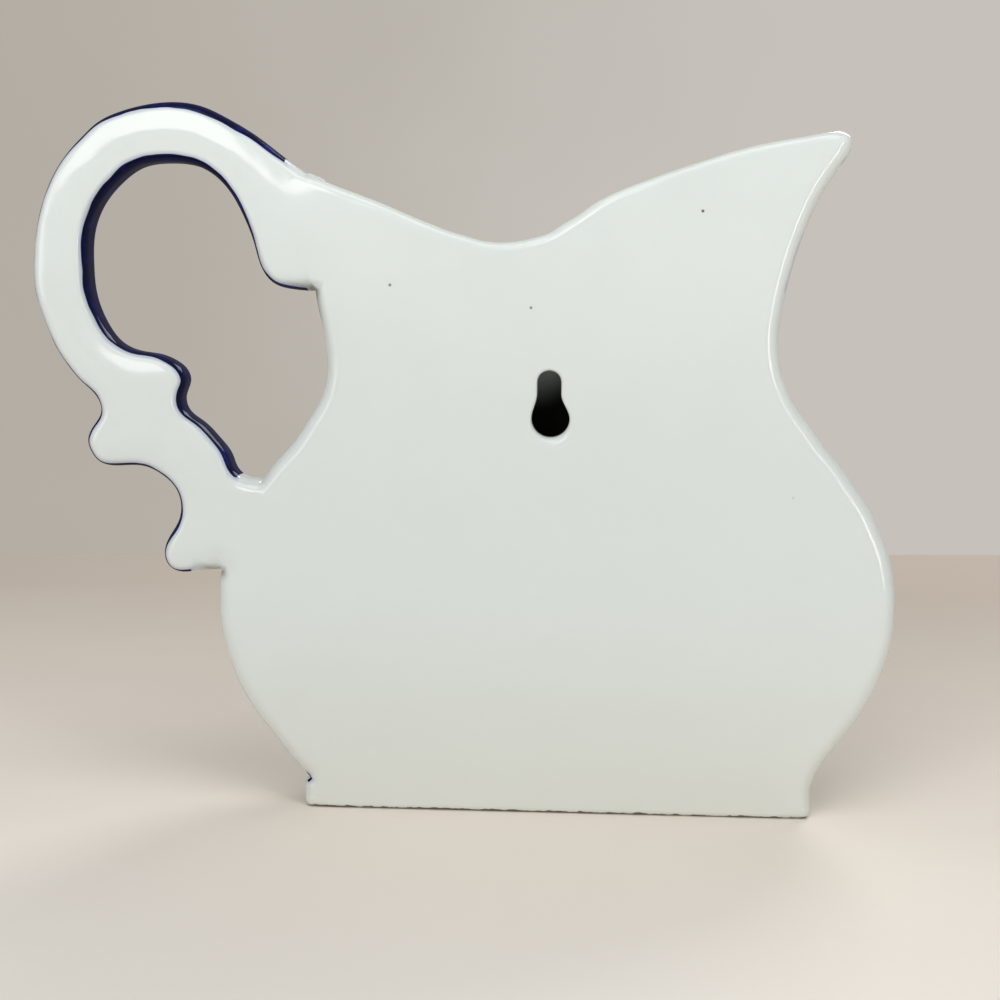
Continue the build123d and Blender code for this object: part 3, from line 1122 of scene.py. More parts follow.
        # Distance below the crown, above zero outside and below zero in the pocket.
        left = add_node(tree, math_node, [1.0, climb], operation="SUBTRACT")
        left = add_node(tree, math_node, [left, descend], operation="SUBTRACT")
        left = add_node(tree, math_node, [under, 2.0, left], operation="MULTIPLY_ADD")
        bent = add_node(tree, math_node, [turn, -math.pi, math.pi / 2], operation="MULTIPLY_ADD")
        bent = add_node(tree, math_node, [bent, given["Lip radius"]], operation="MULTIPLY")
        below = add_node(tree, math_node, [left, rise, bent], operation="MULTIPLY_ADD")
        grid = add_node(
            tree, "GeometryNodeStoreNamedAttribute", {"Geometry": grid, "Name": "crown_mm", "Value": below}
        )
        shell = add_node(tree, "GeometryNodeSetPosition", {"Geometry": grid, "Position": point})
        shell = add_node(tree, "GeometryNodeMergeByDistance", {"Geometry": shell, "Distance": 0.00001})
        shell = add_node(tree, "GeometryNodeRealizeInstances", {"Geometry": shell})
        shell = add_node(tree, "GeometryNodeSetMaterial", {"Geometry": shell, "Material": given["Glaze"]})
        add_node(tree, "NodeGroupOutput", [shell])
        return tree

    def build(self, bow: bpy.types.NodeTree, glaze: bpy.types.Material) -> bpy.types.Object:
        """Builds the shell.

        Args:
            bow: The group that draws a flat-backed curve.
            glaze: The glaze that it wears.

        Returns:
            The object, in place.
        """
        section = self.form.section_group(bow)
        tree = self.tree(section, self.crown_group(section))
        piece = grown("front_shell_glazed", tree, {"Glaze": glaze})
        finish_mesh(piece.data, 50)
        return piece

    def seam(self, piece: bpy.types.Object, side: int) -> np.ndarray:
        """The outline of the shell where it meets the back wall.

        Args:
            piece: The built shell.
            side: 0 for the handle's side, 1 for the spout's side.

        Returns:
            Points (x, z) from the foot up the outer wall to the lip's crown.
        """
        column, row, spot = read(piece, "column"), read(piece, "row"), places(piece)
        wanted = (column == side * (self.columns - 1)) & (row <= self.outer_rows + self.lip_rows // 2)
        order = np.argsort(row[wanted])
        return spot[wanted][order][:, [0, 2]]

    def rim_line(self, start: float, end: float, spacing: float) -> np.ndarray:
        """The rim between two places across the jug.

        Args:
            start: Where it starts, on the handle's side.
            end: Where it ends, at the spout.
            spacing: Distance between its points.

        Returns:
            Points (x, z) of the rim.
        """
        node = bpy.data.node_groups["Lip"].nodes["Rim curve"]
        node.mapping.initialize()
        curve = node.mapping.curves[0]
        across = np.linspace(start, end, 400)
        along = (self.form.rim_start - across) / (self.form.rim_start + self.form.spout_reach)
        shares = np.array([node.mapping.evaluate(curve, float(share)) for share in along])
        up = self.form.rim_low + self.form.rim_rise * shares
        return even_line(np.column_stack((across, up)), spacing)


@dataclass
class Foot:
    """The short plinth under the pocket: a bare standing ring round a recessed floor."""

    form: JugForm
    handle_side: float = 51.2
    spout_side: float = 56.8
    depth: float = 34.0
    ring_width: float = 5.0
    recess: float = 1.4
    edge: float = 1.0
    columns: int = 220

    def tree(self, bow: bpy.types.NodeTree) -> bpy.types.NodeTree:
        """Geometry Nodes for the foot: a rounded section swept round the bow, and a floor.

        Args:
            bow: The group that draws a flat-backed curve.

        Returns:
            The tree.
        """
        sizes = {
            "Columns": self.columns,
            "Handle side": self.handle_side,
            "Spout side": self.spout_side,
            "Depth": self.depth,
            "Back": self.form.back_thickness,
            "Height": self.form.foot_height,
            "Base": self.form.base_level,
            "Ring width": self.ring_width,
            "Recess": self.recess,
            "Edge": self.edge,
            "Scale": MM,
            "Glaze": None,
        }
        tree, given = begin_tree("Foot", sizes, {"Geometry": "Geometry"})
        math_node, group = "ShaderNodeMath", "GeometryNodeGroup"
        last_column = add_node(tree, math_node, [given["Columns"], 1.0], operation="SUBTRACT")
        index = add_node(tree, "GeometryNodeInputIndex")
        angle = add_node(tree, math_node, [index, last_column], operation="DIVIDE")
        angle = add_node(tree, math_node, [angle, math.pi], operation="MULTIPLY")
        line = add_node(tree, "GeometryNodeMeshLine", {"Count": given["Columns"]})
        paths = []
        for share in (0.5, 0.92):
            inset = add_node(tree, math_node, [given["Ring width"], share], operation="MULTIPLY")
            sides = [
                add_node(tree, math_node, [given[name], inset], operation="SUBTRACT")
                for name in ("Handle side", "Spout side", "Depth")
            ]
            point = add_node(
                tree,
                group,
                {
                    "Angle": angle,
                    "Handle side": sides[0],
                    "Spout side": sides[1],
                    "Depth": sides[2],
                    "Back": given["Back"],
                    "Roundness": 2 / 2.3,
                },
                node_tree=bow,
            )
            path = add_node(tree, "GeometryNodeSetPosition", {"Geometry": line, "Position": point})
            paths.append(add_node(tree, "GeometryNodeMeshToCurve", {"Mesh": path}))
        # The ring: a rounded rectangle as wide as the ring and as high as the foot.
        path = add_node(tree, "GeometryNodeSetCurveNormal", {"Curve": paths[0]}, mode="Z_UP")
        profile = add_node(
            tree,
            "GeometryNodeCurvePrimitiveQuadrilateral",
            {"Width": given["Ring width"], "Height": given["Height"]},
        )
        profile = add_node(
            tree,
            "GeometryNodeFilletCurve",
            {"Curve": profile, "Radius": given["Edge"], "Count": 6},
            mode="POLY",
        )
        ring = add_node(
            tree, "GeometryNodeCurveToMesh", {"Curve": path, "Profile Curve": profile, "Fill Caps": True}
        )
        half = add_node(tree, math_node, [given["Height"], 0.5], operation="MULTIPLY")
        middle = add_node(tree, math_node, [given["Base"], half], operation="ADD")
        lift = add_node(tree, "ShaderNodeCombineXYZ", [0.0, 0.0, middle])
        ring = add_node(tree, "GeometryNodeTransform", {"Geometry": ring, "Translation": lift})
        # The floor of the pocket, with the recess under it.
        closed = add_node(tree, "GeometryNodeSetSplineCyclic", {"Geometry": paths[1], "Cyclic": True})
        floor = add_node(tree, "GeometryNodeFillCurve", {"Curve": closed})
        under = add_node(tree, "GeometryNodeFlipFaces", {"Mesh": floor})
        thick = add_node(tree, math_node, [given["Height"], given["Recess"]], operation="SUBTRACT")
        up = add_node(tree, "ShaderNodeCombineXYZ", [0.0, 0.0, 1.0])
        raised = add_node(
            tree,
            "GeometryNodeExtrudeMesh",
            {"Mesh": floor, "Offset": up, "Offset Scale": thick, "Individual": False},
        )
        slab = add_node(tree, "GeometryNodeJoinGeometry")
        tree.links.new(raised.outputs["Mesh"], slab.inputs["Geometry"])
        tree.links.new(under.outputs["Mesh"], slab.inputs["Geometry"])
        slab = add_node(tree, "GeometryNodeMergeByDistance", {"Geometry": slab, "Distance": 0.001})
        floor_level = add_node(tree, math_node, [given["Base"], given["Recess"]], operation="ADD")
        lift = add_node(tree, "ShaderNodeCombineXYZ", [0.0, 0.0, floor_level])
        slab = add_node(tree, "GeometryNodeTransform", {"Geometry": slab, "Translation": lift})
        whole = add_node(tree, "GeometryNodeJoinGeometry")
        tree.links.new(ring.outputs["Geometry"], whole.inputs["Geometry"])
        tree.links.new(slab.outputs["Geometry"], whole.inputs["Geometry"])
        size = add_node(tree, "ShaderNodeCombineXYZ", [given["Scale"]] * 3)
        whole = add_node(tree, "GeometryNodeTransform", {"Geometry": whole, "Scale": size})
        whole = add_node(tree, "GeometryNodeRealizeInstances", {"Geometry": whole})
        whole = add_node(tree, "GeometryNodeSetMaterial", {"Geometry": whole, "Material": given["Glaze"]})
        add_node(tree, "NodeGroupOutput", [whole])
        return tree

    def build(self, bow: bpy.types.NodeTree, glaze: bpy.types.Material) -> bpy.types.Object:
        """Builds the foot.

        Args:
            bow: The group that draws a flat-backed curve.
            glaze: The glaze that it wears.

        Returns:
            The object, in place.
        """
        piece = grown("foot_glazed", self.tree(bow), {"Glaze": glaze})
        finish_mesh(piece.data, 40)
        return piece


@dataclass
class Outlines:
    """The outlines of the jug's back and of the handle on the wall plane, and their joint.

    Attributes:
        jug: The back wall's closed outline.
        handle: The handle's closed outline, which shares the jug's where they are luted.
        union: The outlines of jug and handle together.
        swell: The handle's swelling back.
    """

    jug: Line
    handle: Line
    union: list[Line]
    swell: Swell


@dataclass
class OutlineMaker:
    """Draws the outlines of the back wall and the handle so that they meet."""

    form: JugForm
    shell: FrontShell
    foot: Foot
    root_reach: float = 50.0
    reach: float = 108.3
    low_height: float = 49.9
    top_height: float = 148.1
    corner: float = 1.6
    front_round: float = 3.0
    spacing: float = 0.45
    swell_height: float = 0.9
    half_width: float = 7.0
    ease: float = 1.5

    def jug_line(self, shell_piece: bpy.types.Object) -> Line:
        """Draws the back wall's outline from the shell's own seam.

        Args:
            shell_piece: The built shell.

        Returns:
            The closed outline, counterclockwise in x and z.
        """
        handle_side = self.shell.seam(shell_piece, 0)
        spout_side = self.shell.seam(shell_piece, 1)
        rim = self.shell.rim_line(handle_side[-1][0], spout_side[-1][0], self.spacing)
        base, top = self.form.base_level, self.form.foot_top
        right, left, c = self.foot.handle_side, -self.foot.spout_side, self.corner
        bend = np.linspace(0, math.pi / 2, 8)
        arc = np.column_stack((np.sin(bend), 1 - np.cos(bend))) * c
        low_right = np.array([right - c, base]) + arc
        low_left = (np.array([left + c, base]) + arc * (-1, 1))[::-1]
        # The foot's side turns in just under the belly.
        ease = np.array([[right, top - 1.2], [right - 0.3, top - 0.45], [right - 1.0, top - 0.05]])
        foot_right = even_line(np.concatenate((low_right, ease, handle_side[:1])), self.spacing)
        foot_left = even_line(np.concatenate((spout_side[:1], low_left)), self.spacing)
        bottom = even_line(np.array([low_left[-1], low_right[0]]), 2 * self.spacing)
        line = Line.joined(
            Line.plain(foot_right, EdgeRound.FOOT),
            Line.plain(even_line(handle_side, self.spacing)[1:], EdgeRound.SIDE),
            Line.plain(rim[1:-1], EdgeRound.RIM, 0.6),
            Line.plain(even_line(spout_side[::-1], self.spacing), EdgeRound.SIDE),
            Line.plain(foot_left[1:], EdgeRound.FOOT),
            Line.plain(bottom[1:-1], EdgeRound.BASE),
        )
        line = line.thinned(0.3 * self.spacing)
        low = line.points[:, 1] < base + 0.6
        line.back[low] = EdgeRound.BASE.value
        return line

    def handle_line(self, shares: tuple) -> np.ndarray:
        """Samples one of the handle's outlines.

        Args:
            shares: Its points as shares of the handle's reach and rise.

        Returns:
            Points (x, z) along it.
        """
        spot = np.array([self.root_reach, self.form.base_level + self.low_height])
        size = np.array([self.reach - self.root_reach, self.top_height - self.low_height])
        return smooth_line(np.array(shares) * size + spot, self.spacing)

    def clipped(self, line: np.ndarray, jug: np.ndarray) -> np.ndarray:
        """Cuts both ends of a handle's outline where it meets the jug.

        Args:
            line: The outline, which starts and ends in the jug.
            jug: The jug's outline.

        Returns:
            The part outside the jug, with its ends on the jug's outline.
        """
        out = np.nonzero(~inside(line, jug))[0]
        ends = []
        for within, outside in ((out[0] - 1, out[0]), (out[-1] + 1, out[-1])):
            low, high = line[within], line[outside]
            for _ in range(24):
                middle = (low + high) / 2
                low, high = (middle, high) if inside(middle[None], jug)[0] else (low, middle)
            ends.append(high)
        return np.concatenate(([ends[0]], line[out[0] : out[-1] + 1], [ends[1]]))

    def union_lines(self, jug: Line, handle: Line) -> list[Line]:
        """Draws the outlines of the jug and the handle together.

        Args:
            jug: The jug's outline.
            handle: The handle's outline.

        Returns:
            The outline round both and the one of the opening between them.
        """
        jug_parts = self.runs(jug, ~jug.joint)
        handle_parts = self.runs(handle, ~handle.joint)
        loops = []
        while jug_parts:
            chain = jug_parts.pop(0)
            while True:
                tail = chain.points[-1]
                pool = [
                    (np.linalg.norm(part.points[0] - tail), k, parts)
                    for parts in (handle_parts, jug_parts)
                    for k, part in enumerate(parts)
                ]
                gap, k, parts = min(pool, key=lambda entry: entry[0], default=(math.inf, 0, []))
                if np.linalg.norm(chain.points[0] - tail) <= gap:
                    break
                chain = Line.joined(chain, parts.pop(k))
            loops.append(chain.thinned(0.01).eased(12))
        return loops

    @staticmethod
    def runs(line: Line, keep: np.ndarray) -> list[Line]:
        """Splits a closed line into the stretches that are kept."""
        start = int(np.nonzero(keep & ~np.roll(keep, 1))[0][0])
        order = np.roll(np.arange(len(keep)), -start)
        parts, current = [], []
        for i in order:
            if keep[i]:
                current.append(i)
            elif current:
                parts.append(line.part(np.array(current)))
                current = []
        if current:
            parts.append(line.part(np.array(current)))
        return parts

    def build(self, shell_piece: bpy.types.Object) -> Outlines:
        """Draws all the outlines.

        Args:
            shell_piece: The built shell.

        Returns:
            The outlines.
        """
        jug = self.jug_line(shell_piece)
        outer = self.handle_line(HANDLE_OUTER)
        inner = self.handle_line(HANDLE_INNER)
        # Counterclockwise: up the outer line from its low end, and down the inner line.
        outer_cut = self.clipped(outer, jug.points)[::-1]
        inner_cut = self.clipped(inner, jug.points)[::-1]
        corners = []
        for end in (outer_cut[0], outer_cut[-1], inner_cut[0], inner_cut[-1]):
            corners.append(np.argmin(np.linalg.norm(jug.points - end, axis=1)))
            jug.points[corners[-1]] = end
        jug.joint = inside(jug.points, np.concatenate((outer, inner)))
        jug.joint[corners] = False
        low_joint, high_joint = sorted(self.runs(jug, jug.joint), key=lambda run: run.points[0][1])
        handle = Line.joined(
            Line.plain(outer_cut, EdgeRound.HANDLE, self.front_round),
            self.luted(high_joint),
            Line.plain(inner_cut, EdgeRound.HANDLE, self.front_round),
            self.luted(low_joint),
        )
        union = self.union_lines(jug, handle)
        self.match(jug, union)
        self.match(handle, union)
        swell = Swell(union, self.swell_height, self.half_width, self.ease)
        return Outlines(jug, handle, union, swell)

    def luted(self, run: Line) -> Line:
        """A run of the jug's outline, turned round, as the handle's own hidden end."""
        line = Line.plain(run.points[::-1], EdgeRound.HANDLE, self.front_round)
        line.joint[:] = True
        return line

    @staticmethod
    def match(line: Line, union: list[Line]) -> None:
        """Gives an outline the eased rounding of the outlines that it is part of."""
        tree = point_tree(np.concatenate([loop.points for loop in union]))
        backs = np.concatenate([loop.back for loop in union])
        crowns = np.concatenate([loop.crown for loop in union])
        for i, (x, z) in enumerate(line.points):
            _, k, gap = tree.find((x, z, 0))
            if gap < 1e-6:
                line.back[i], line.crown[i] = backs[k], crowns[k]


@dataclass(frozen=True)
class PaintTrace:
    """A trace of blue that ran over the back's edge at (x, z)."""

    x: float
    z: float
    reach: float
    width: float

    def depth(self, edge: np.ndarray, points: np.ndarray) -> np.ndarray:
        """How far inside the trace points are, from their distance inwards from the outline."""
        gap = np.linalg.norm(points - (self.x, self.z), axis=1)
        return np.minimum(self.width - edge, self.reach - gap)


@dataclass
class BackWall:
    """The flat back with its keyhole."""

    form: JugForm
    slot_radius: float = 2.5
    slot_drop: float = 2.4
    bulb_radius: float = 3.95
    bulb_drop: float = 7.5
    bulb_offset: float = 0.35
    lip: float = 1.1
    spacing: float = 0.22
    grid: float = 2.6
    traces: tuple[PaintTrace, ...] = (
        PaintTrace(-60.2, 44.6, 1.3, 0.5),
        PaintTrace(-50.5, 25.0, 6.0, 0.12),
        PaintTrace(50.2, -85.2, 1.4, 1.0),
    )

    def keyhole(self) -> Line:
        """Draws the keyhole: a slot that swells into a round bulb.

        Returns:
            Its closed outline, clockwise.
        """
        top = np.linspace(0, math.pi, 30)
        slot = np.column_stack((np.cos(top), np.sin(top))) * self.slot_radius
        low = np.linspace(math.pi, 2 * math.pi, 40)
        bulb = np.column_stack((np.cos(low), np.sin(low))) * self.bulb_radius
        bulb += (-self.bulb_offset, -self.bulb_drop)
        swell = np.linspace(0, 1, 14)[1:-1]
        ease = swell**2 * (3 - 2 * swell)
        levels = -self.slot_drop + swell * (self.slot_drop - self.bulb_drop)
        left = np.column_stack((-self.slot_radius + ease * (bulb[0][0] + self.slot_radius), levels))
        right = np.column_stack((self.slot_radius + ease * (bulb[-1][0] - self.slot_radius), levels))
        loop = np.concatenate((slot, [[-self.slot_radius, -self.slot_drop]], left, bulb, right[::-1]))
        loop = np.concatenate((loop, [[self.slot_radius, -self.slot_drop]], loop[:1]))
        points = even_line(loop, self.spacing)[:-1][::-1]
        line = Line.plain(points, EdgeRound.KEYHOLE, 0.3)
        low = np.clip((-self.bulb_drop - points[:, 1]) / self.bulb_radius, 0, 1)
        line.back += self.lip * low
        return line

    def build(self, lines: Outlines) -> bpy.types.Object:
        """Builds the back wall.

        Args:
            lines: The outlines.

        Returns:
            The object, in place.
        """
        hole = self.keyhole()
        slab = ClaySlab(
            "back_wall_glazed",
            [lines.jug, hole],
            [*lines.union, hole],
            thickness=self.form.back_thickness,
            spacing=self.grid,
            swell=lines.swell,
        )
        piece = slab.build()
        spot = places(piece)
        edge = read(piece, "edge_mm")
        paint = np.max([trace.depth(edge, spot[:, [0, 2]]) for trace in self.traces], axis=0)
        # The traces dry out before they reach the seam with the shell.
        paint = np.minimum(paint, spot[:, 1] + 2.4)
        store(piece, "paint_mm", np.where(edge < -3.0, -5.0, paint))
        return piece


@dataclass
class HandlePaint:
    """The blue on the handle: where it stops along its outlines, and how far round it comes.

    The four ends are (x, z). The brush came further round the back's edge at the top of the arch.
    """

    outer_top: tuple[float, float] = (55.1, 45.7)
    outer_low: tuple[float, float] = (75.5, -41.3)
    inner_low: tuple[float, float] = (64.5, -19.3)
    inner_top: tuple[float, float] = (50.3, 18.4)
    width: float = 0.8
    arch: tuple[float, float] = (76.0, 56.0)
    arch_reach: float = 19.0
    arch_extra: float = 0.7

    def wrap(self, points: np.ndarray) -> np.ndarray:
        """How far round the back's edge the paint comes near points on the wall plane."""
        gap = np.linalg.norm(points - self.arch, axis=1)
        return self.width + self.arch_extra * np.exp(-((gap / self.arch_reach) ** 2))

    def reach(self, points: np.ndarray) -> np.ndarray:
        """How far points are inside the painted stretch, which ends in two straight strokes.

        Args:
            points: Points on the wall plane.

        Returns:
            Distances, below zero past the paint's ends.
        """
        gaps = []
        for start, end in ((self.inner_top, self.outer_top), (self.outer_low, self.inner_low)):
            along = np.array(end) - np.array(start)
            along /= np.linalg.norm(along)
            gaps.append((points - start) @ (along[1], -along[0]))
        return np.minimum(*gaps)


@dataclass
class Handle:
    """The scrolled handle, painted blue on its flanks and front."""

    thickness: float = 10.5
    embed: float = 2.5
    grid: float = 1.3
    paint: HandlePaint = field(default_factory=HandlePaint)

    def build(self, lines: Outlines) -> bpy.types.Object:
        """Builds the handle.

        Args:
            lines: The outlines.

        Returns:
            The object, in place.
        """
        slab = ClaySlab(
            "handle_painted",
            [lines.handle],
            lines.union,
            thickness=self.thickness,
            spacing=self.grid,
            swell=lines.swell,
            embed=self.embed,
        )
        piece = slab.build()
        spot = places(piece)[:, [0, 2]]
        round_edge = self.paint.wrap(spot) - read(piece, "edge_mm")
        store(piece, "paint_mm", np.minimum(round_edge, self.paint.reach(spot)))
        return piece


@dataclass(frozen=True)
class TinGlaze:
    """White tin glaze fired on slip-cast earthenware, with cobalt painted into it.

    It gives the eye a soft cool white with a wet gloss, faint waves where the glaze ran,
    a few iron specks, and blue that bleeds at its edges.
    """

    name: str
    white: str = "#dce3e0"
    pool: str = "#d9e0dd"
    # Painted shade, darker lower on the jug.
    belly: str = "#d2d8d5"
    # Painted warm bounce light from the floor, low on the jug.
    low: str = "#d2d4cc"
    thin: str = "#d8d0bf"
    clay: str = "#625c52"
    # Painted shade for the deep inside of the pocket.
    pocket: str = "#2f2d29"
    bleed: str = "#8a93cc"
    cobalt: str = "#080d34"
    cobalt_thin: str = "#131f66"
    speck: str = "#5a5347"
    edge_attribute: str = ""
    paint_attribute: str = ""
    body_paint: bool = False

    def material(self) -> bpy.types.Material:
        """Builds the material.

        Returns:
            The new material.
        """
        made = bpy.data.materials.new(self.name)
        made.use_nodes = True
        tree = made.node_tree
        tree.nodes.clear()
        math_node, noise, ramp = "ShaderNodeMath", "ShaderNodeTexNoise", "ShaderNodeMapRange"
        spot = add_node(tree, "ShaderNodeTexCoord").outputs["Object"]
        layers, matt = self.glaze_layers(tree, spot)
        gloss, coat = 0.5, 0.0
        paint = self.paint_depth(tree, spot)
        if paint is not None:
            solid = add_node(tree, ramp, [paint, 0.0, 0.14], **SMOOTH)
            layers += self.paint_layers(tree, spot, paint, solid)
            # The oxide dulls the glaze under it, so that the blue keeps only part of the gloss. The painted
            # shade in the pocket is dulled the same way.
            matt = add_node(tree, math_node, [matt, solid], operation="MAXIMUM")
            gloss = add_node(tree, math_node, [matt, -0.5, 0.5], operation="MULTIPLY_ADD")
            coat = add_node(tree, math_node, [solid, 0.18], operation="MULTIPLY")
        colour = linear(self.white)
        for cover, tint in layers:
            mixed = {"Factor": cover, 6: colour, 7: tint}
            colour = add_node(tree, "ShaderNodeMix", mixed, data_type="RGBA").outputs[2]
        # The gloss is a little softer in patches.
        haze = add_node(tree, noise, {"Vector": spot, "Scale": 90.0, "Detail": 3.0})
        rough = add_node(tree, ramp, {"Value": haze, "To Min": 0.07, "To Max": 0.15})
        # Waves about 12 mm long from the run of the glaze, and orange peel under 1 mm.
        skin = None
        for scale, height, strength in ((80.0, 0.0005, 0.6), (1300.0, 0.000006, 0.5)):
            swell = add_node(tree, noise, {"Vector": spot, "Scale": scale, "Detail": 1.0})
            below = {"Normal": skin} if skin else {}
            wave = {"Height": swell, "Distance": height, "Strength": strength, **below}
            skin = add_node(tree, "ShaderNodeBump", wave)
        shader = add_node(
            tree,
            "ShaderNodeBsdfPrincipled",
            {
                "Base Color": colour,
                "Roughness": rough,
                "IOR": 1.5,
                "Specular IOR Level": gloss,
                "Coat Weight": coat,
                "Coat Roughness": 0.06,
                "Normal": skin,
                "Coat Normal": skin,
            },
        )
        add_node(tree, "ShaderNodeOutputMaterial", {"Surface": shader})
        return made

    def glaze_layers(
        self, tree: bpy.types.NodeTree, spot: bpy.types.NodeSocket
    ) -> tuple[list[tuple], bpy.types.Node | float]:
        """What shows over the white glaze, from the lowest layer up.

        Args:
            tree: The material's tree.
            spot: Object coordinates.

        Returns:
            How much each layer covers, with its colour, and how matt the surface is.
        """
        math_node, noise, ramp = "ShaderNodeMath", "ShaderNodeTexNoise", "ShaderNodeMapRange"
        # Glaze pools and thins over about 30 mm.
        drift = add_node(tree, noise, {"Vector": spot, "Scale": 33.0, "Detail": 2.0})
        layers = [(add_node(tree, ramp, [drift, 0.4, 0.68], **SMOOTH), linear(self.pool))]
        if self.edge_attribute:
            # It runs thin over an edge, where the warm body shows through.
            edge = add_node(tree, "ShaderNodeAttribute", attribute_name=self.edge_attribute)
            edge = edge.outputs["Fac"]
            away = add_node(tree, math_node, [edge], operation="ABSOLUTE")
            layers.append((add_node(tree, ramp, [away, 1.3, 0.1, 0.0, 0.2], **SMOOTH), linear(self.thin)))
        # Iron specks 0.3 to 0.5 mm across, about one in each 20 mm.
        cells = add_node(tree, "ShaderNodeTexVoronoi", {"Vector": spot, "Scale": 52.0}).outputs
        seen = add_node(tree, ramp, [cells["Distance"], 0.016, 0.008, 0.0, 0.5], **SMOOTH)
        chosen = add_node(tree, "ShaderNodeSeparateColor", [cells["Color"]])
        chosen = add_node(tree, math_node, [chosen.outputs["Red"], 0.72], operation="GREATER_THAN")
        specks = add_node(tree, math_node, [seen, chosen], operation="MULTIPLY")
        for x, z in BACK_SPECKS:
            gap = add_node(tree, "ShaderNodeVectorMath", [spot, (x * MM, 0.0, z * MM)], operation="DISTANCE")
            gap = gap.outputs["Value"]
            spotted = add_node(tree, ramp, [gap, 0.00042, 0.00018], **SMOOTH)
            specks = add_node(tree, math_node, [specks, spotted], operation="MAXIMUM")
        layers.append((specks, linear(self.speck)))
        # Painted shade and painted bounce light: the glaze is painted darker down the belly, where less
        # light falls from above, and warmer over the foot, where the floor throws warm light up.
        level = add_node(tree, "ShaderNodeSeparateXYZ", [spot]).outputs["Z"]
        level = add_node(tree, math_node, [level, 1000.0, -BASE_LEVEL], operation="MULTIPLY_ADD")
        for tone, high, low in ((self.belly, 135.0, 65.0), (self.low, 50.0, 4.0)):
            layers.append((add_node(tree, ramp, [level, high, low, 0.0, 0.85], **SMOOTH), linear(tone)))
        matt = 0.0
        if self.edge_attribute == "crown_mm":
            # Down in the pocket the glaze is painted dark and dull, as painted shade where little light
            # reaches.
            matt = add_node(tree, ramp, [edge, -27.0, -38.5], **SMOOTH)
            layers.append((matt, linear(self.pocket)))
        # The standing edge was wiped bare, in a line that wavers by half a millimetre.
        chips = add_node(tree, noise, {"Vector": spot, "Scale": 420.0, "Detail": 3.0})
        bare = add_node(tree, math_node, [chips, -1.6, level], operation="MULTIPLY_ADD")
        layers.append((add_node(tree, ramp, [bare, -0.25, -0.45], **SMOOTH), linear(self.clay)))
        if self.paint_attribute:
            # The furrows of the joints are darkened with grime and with painted shade, in the clay's colour.
            dirt_and_shade = add_node(tree, "ShaderNodeAttribute", attribute_name="dirt_and_shade").outputs["Fac"]
            patch = add_node(tree, math_node, [chips, 0.6, 0.7], operation="MULTIPLY_ADD")
            dirt_and_shade = add_node(tree, math_node, [dirt_and_shade, patch], operation="MULTIPLY", use_clamp=True)
            layers.append((dirt_and_shade, linear(self.clay)))
        return layers, matt

    def paint_layers(
        self,
        tree: bpy.types.NodeTree,
        spot: bpy.types.NodeSocket,
        paint: bpy.types.Node,
        solid: bpy.types.Node,
    ) -> list[tuple]:
        """The cobalt over the glaze: its bleeding edge, and the blue itself.

        Args:
            tree: The material's tree.
            spot: Object coordinates.
            paint: How far inside the painted area the surface is.
            solid: How much the blue covers.

        Returns:
            How much each layer covers, with its colour.
        """
        halo = add_node(tree, "ShaderNodeMapRange", [paint, -0.8, 0.1, 0.0, 0.4], **SMOOTH)
        # Brush marks: the cobalt is thinner in streaks some 3 mm wide.
        streak = add_node(tree, "ShaderNodeTexNoise", {"Vector": spot, "Scale": 300.0, "Detail": 3.0})
        streak = add_node(tree, "ShaderNodeMapRange", [streak, 0.5, 0.8], **SMOOTH)
        tints = {"Factor": streak, 6: linear(self.cobalt), 7: linear(self.cobalt_thin)}
        blue = add_node(tree, "ShaderNodeMix", tints, data_type="RGBA").outputs[2]
        return [(halo, linear(self.bleed)), (solid, blue)]

    def paint_depth(self, tree: bpy.types.NodeTree, spot: bpy.types.NodeSocket) -> bpy.types.Node | None:
        """How far inside the painted area the surface is, in millimetres.

        Args:
            tree: The material's tree.
            spot: Object coordinates.

        Returns:
            The node that gives it, or None where there is no paint.
        """
        if self.body_paint:
            return self.front_depth(tree, spot)
        if not self.paint_attribute:
            return None
        # The brush's line wanders by 0.2 mm over 20 mm, and its edge by 0.1 mm over 3 mm.
        depth = add_node(tree, "ShaderNodeAttribute", attribute_name=self.paint_attribute).outputs["Fac"]
        for scale, sway in ((50.0, 1.0), (300.0, 0.35)):
            wander = add_node(tree, "ShaderNodeTexNoise", {"Vector": spot, "Scale": scale, "Detail": 0.0})
            depth = add_node(tree, "ShaderNodeMath", [wander, sway, depth], operation="MULTIPLY_ADD")
        return add_node(tree, "ShaderNodeMath", [depth, 0.68], operation="SUBTRACT")

    def front_depth(self, tree: bpy.types.NodeTree, spot: bpy.types.NodeSocket) -> bpy.types.Node:
        """How far inside the front's painted lines and sprig the surface is, in millimetres.

        Args:
            tree: The material's tree.
            spot: Object coordinates.

        Returns:
            The node that gives it.
        """
        math_node = "ShaderNodeMath"
        crown = add_node(tree, "ShaderNodeAttribute", attribute_name="crown_mm").outputs["Fac"]
        wander = add_node(tree, "ShaderNodeTexNoise", {"Vector": spot, "Scale": 170.0, "Detail": 2.0})
        wobble = add_node(tree, "ShaderNodeMapRange", {"Value": wander, "To Min": -0.6, "To Max": 0.6})
        axes = add_node(tree, "ShaderNodeSeparateXYZ", [spot]).outputs
        level = add_node(tree, math_node, [axes["Z"], 1000.0, wobble], operation="MULTIPLY_ADD")
        below = add_node(tree, math_node, [crown, wobble], operation="ADD")
        depth = -5.0
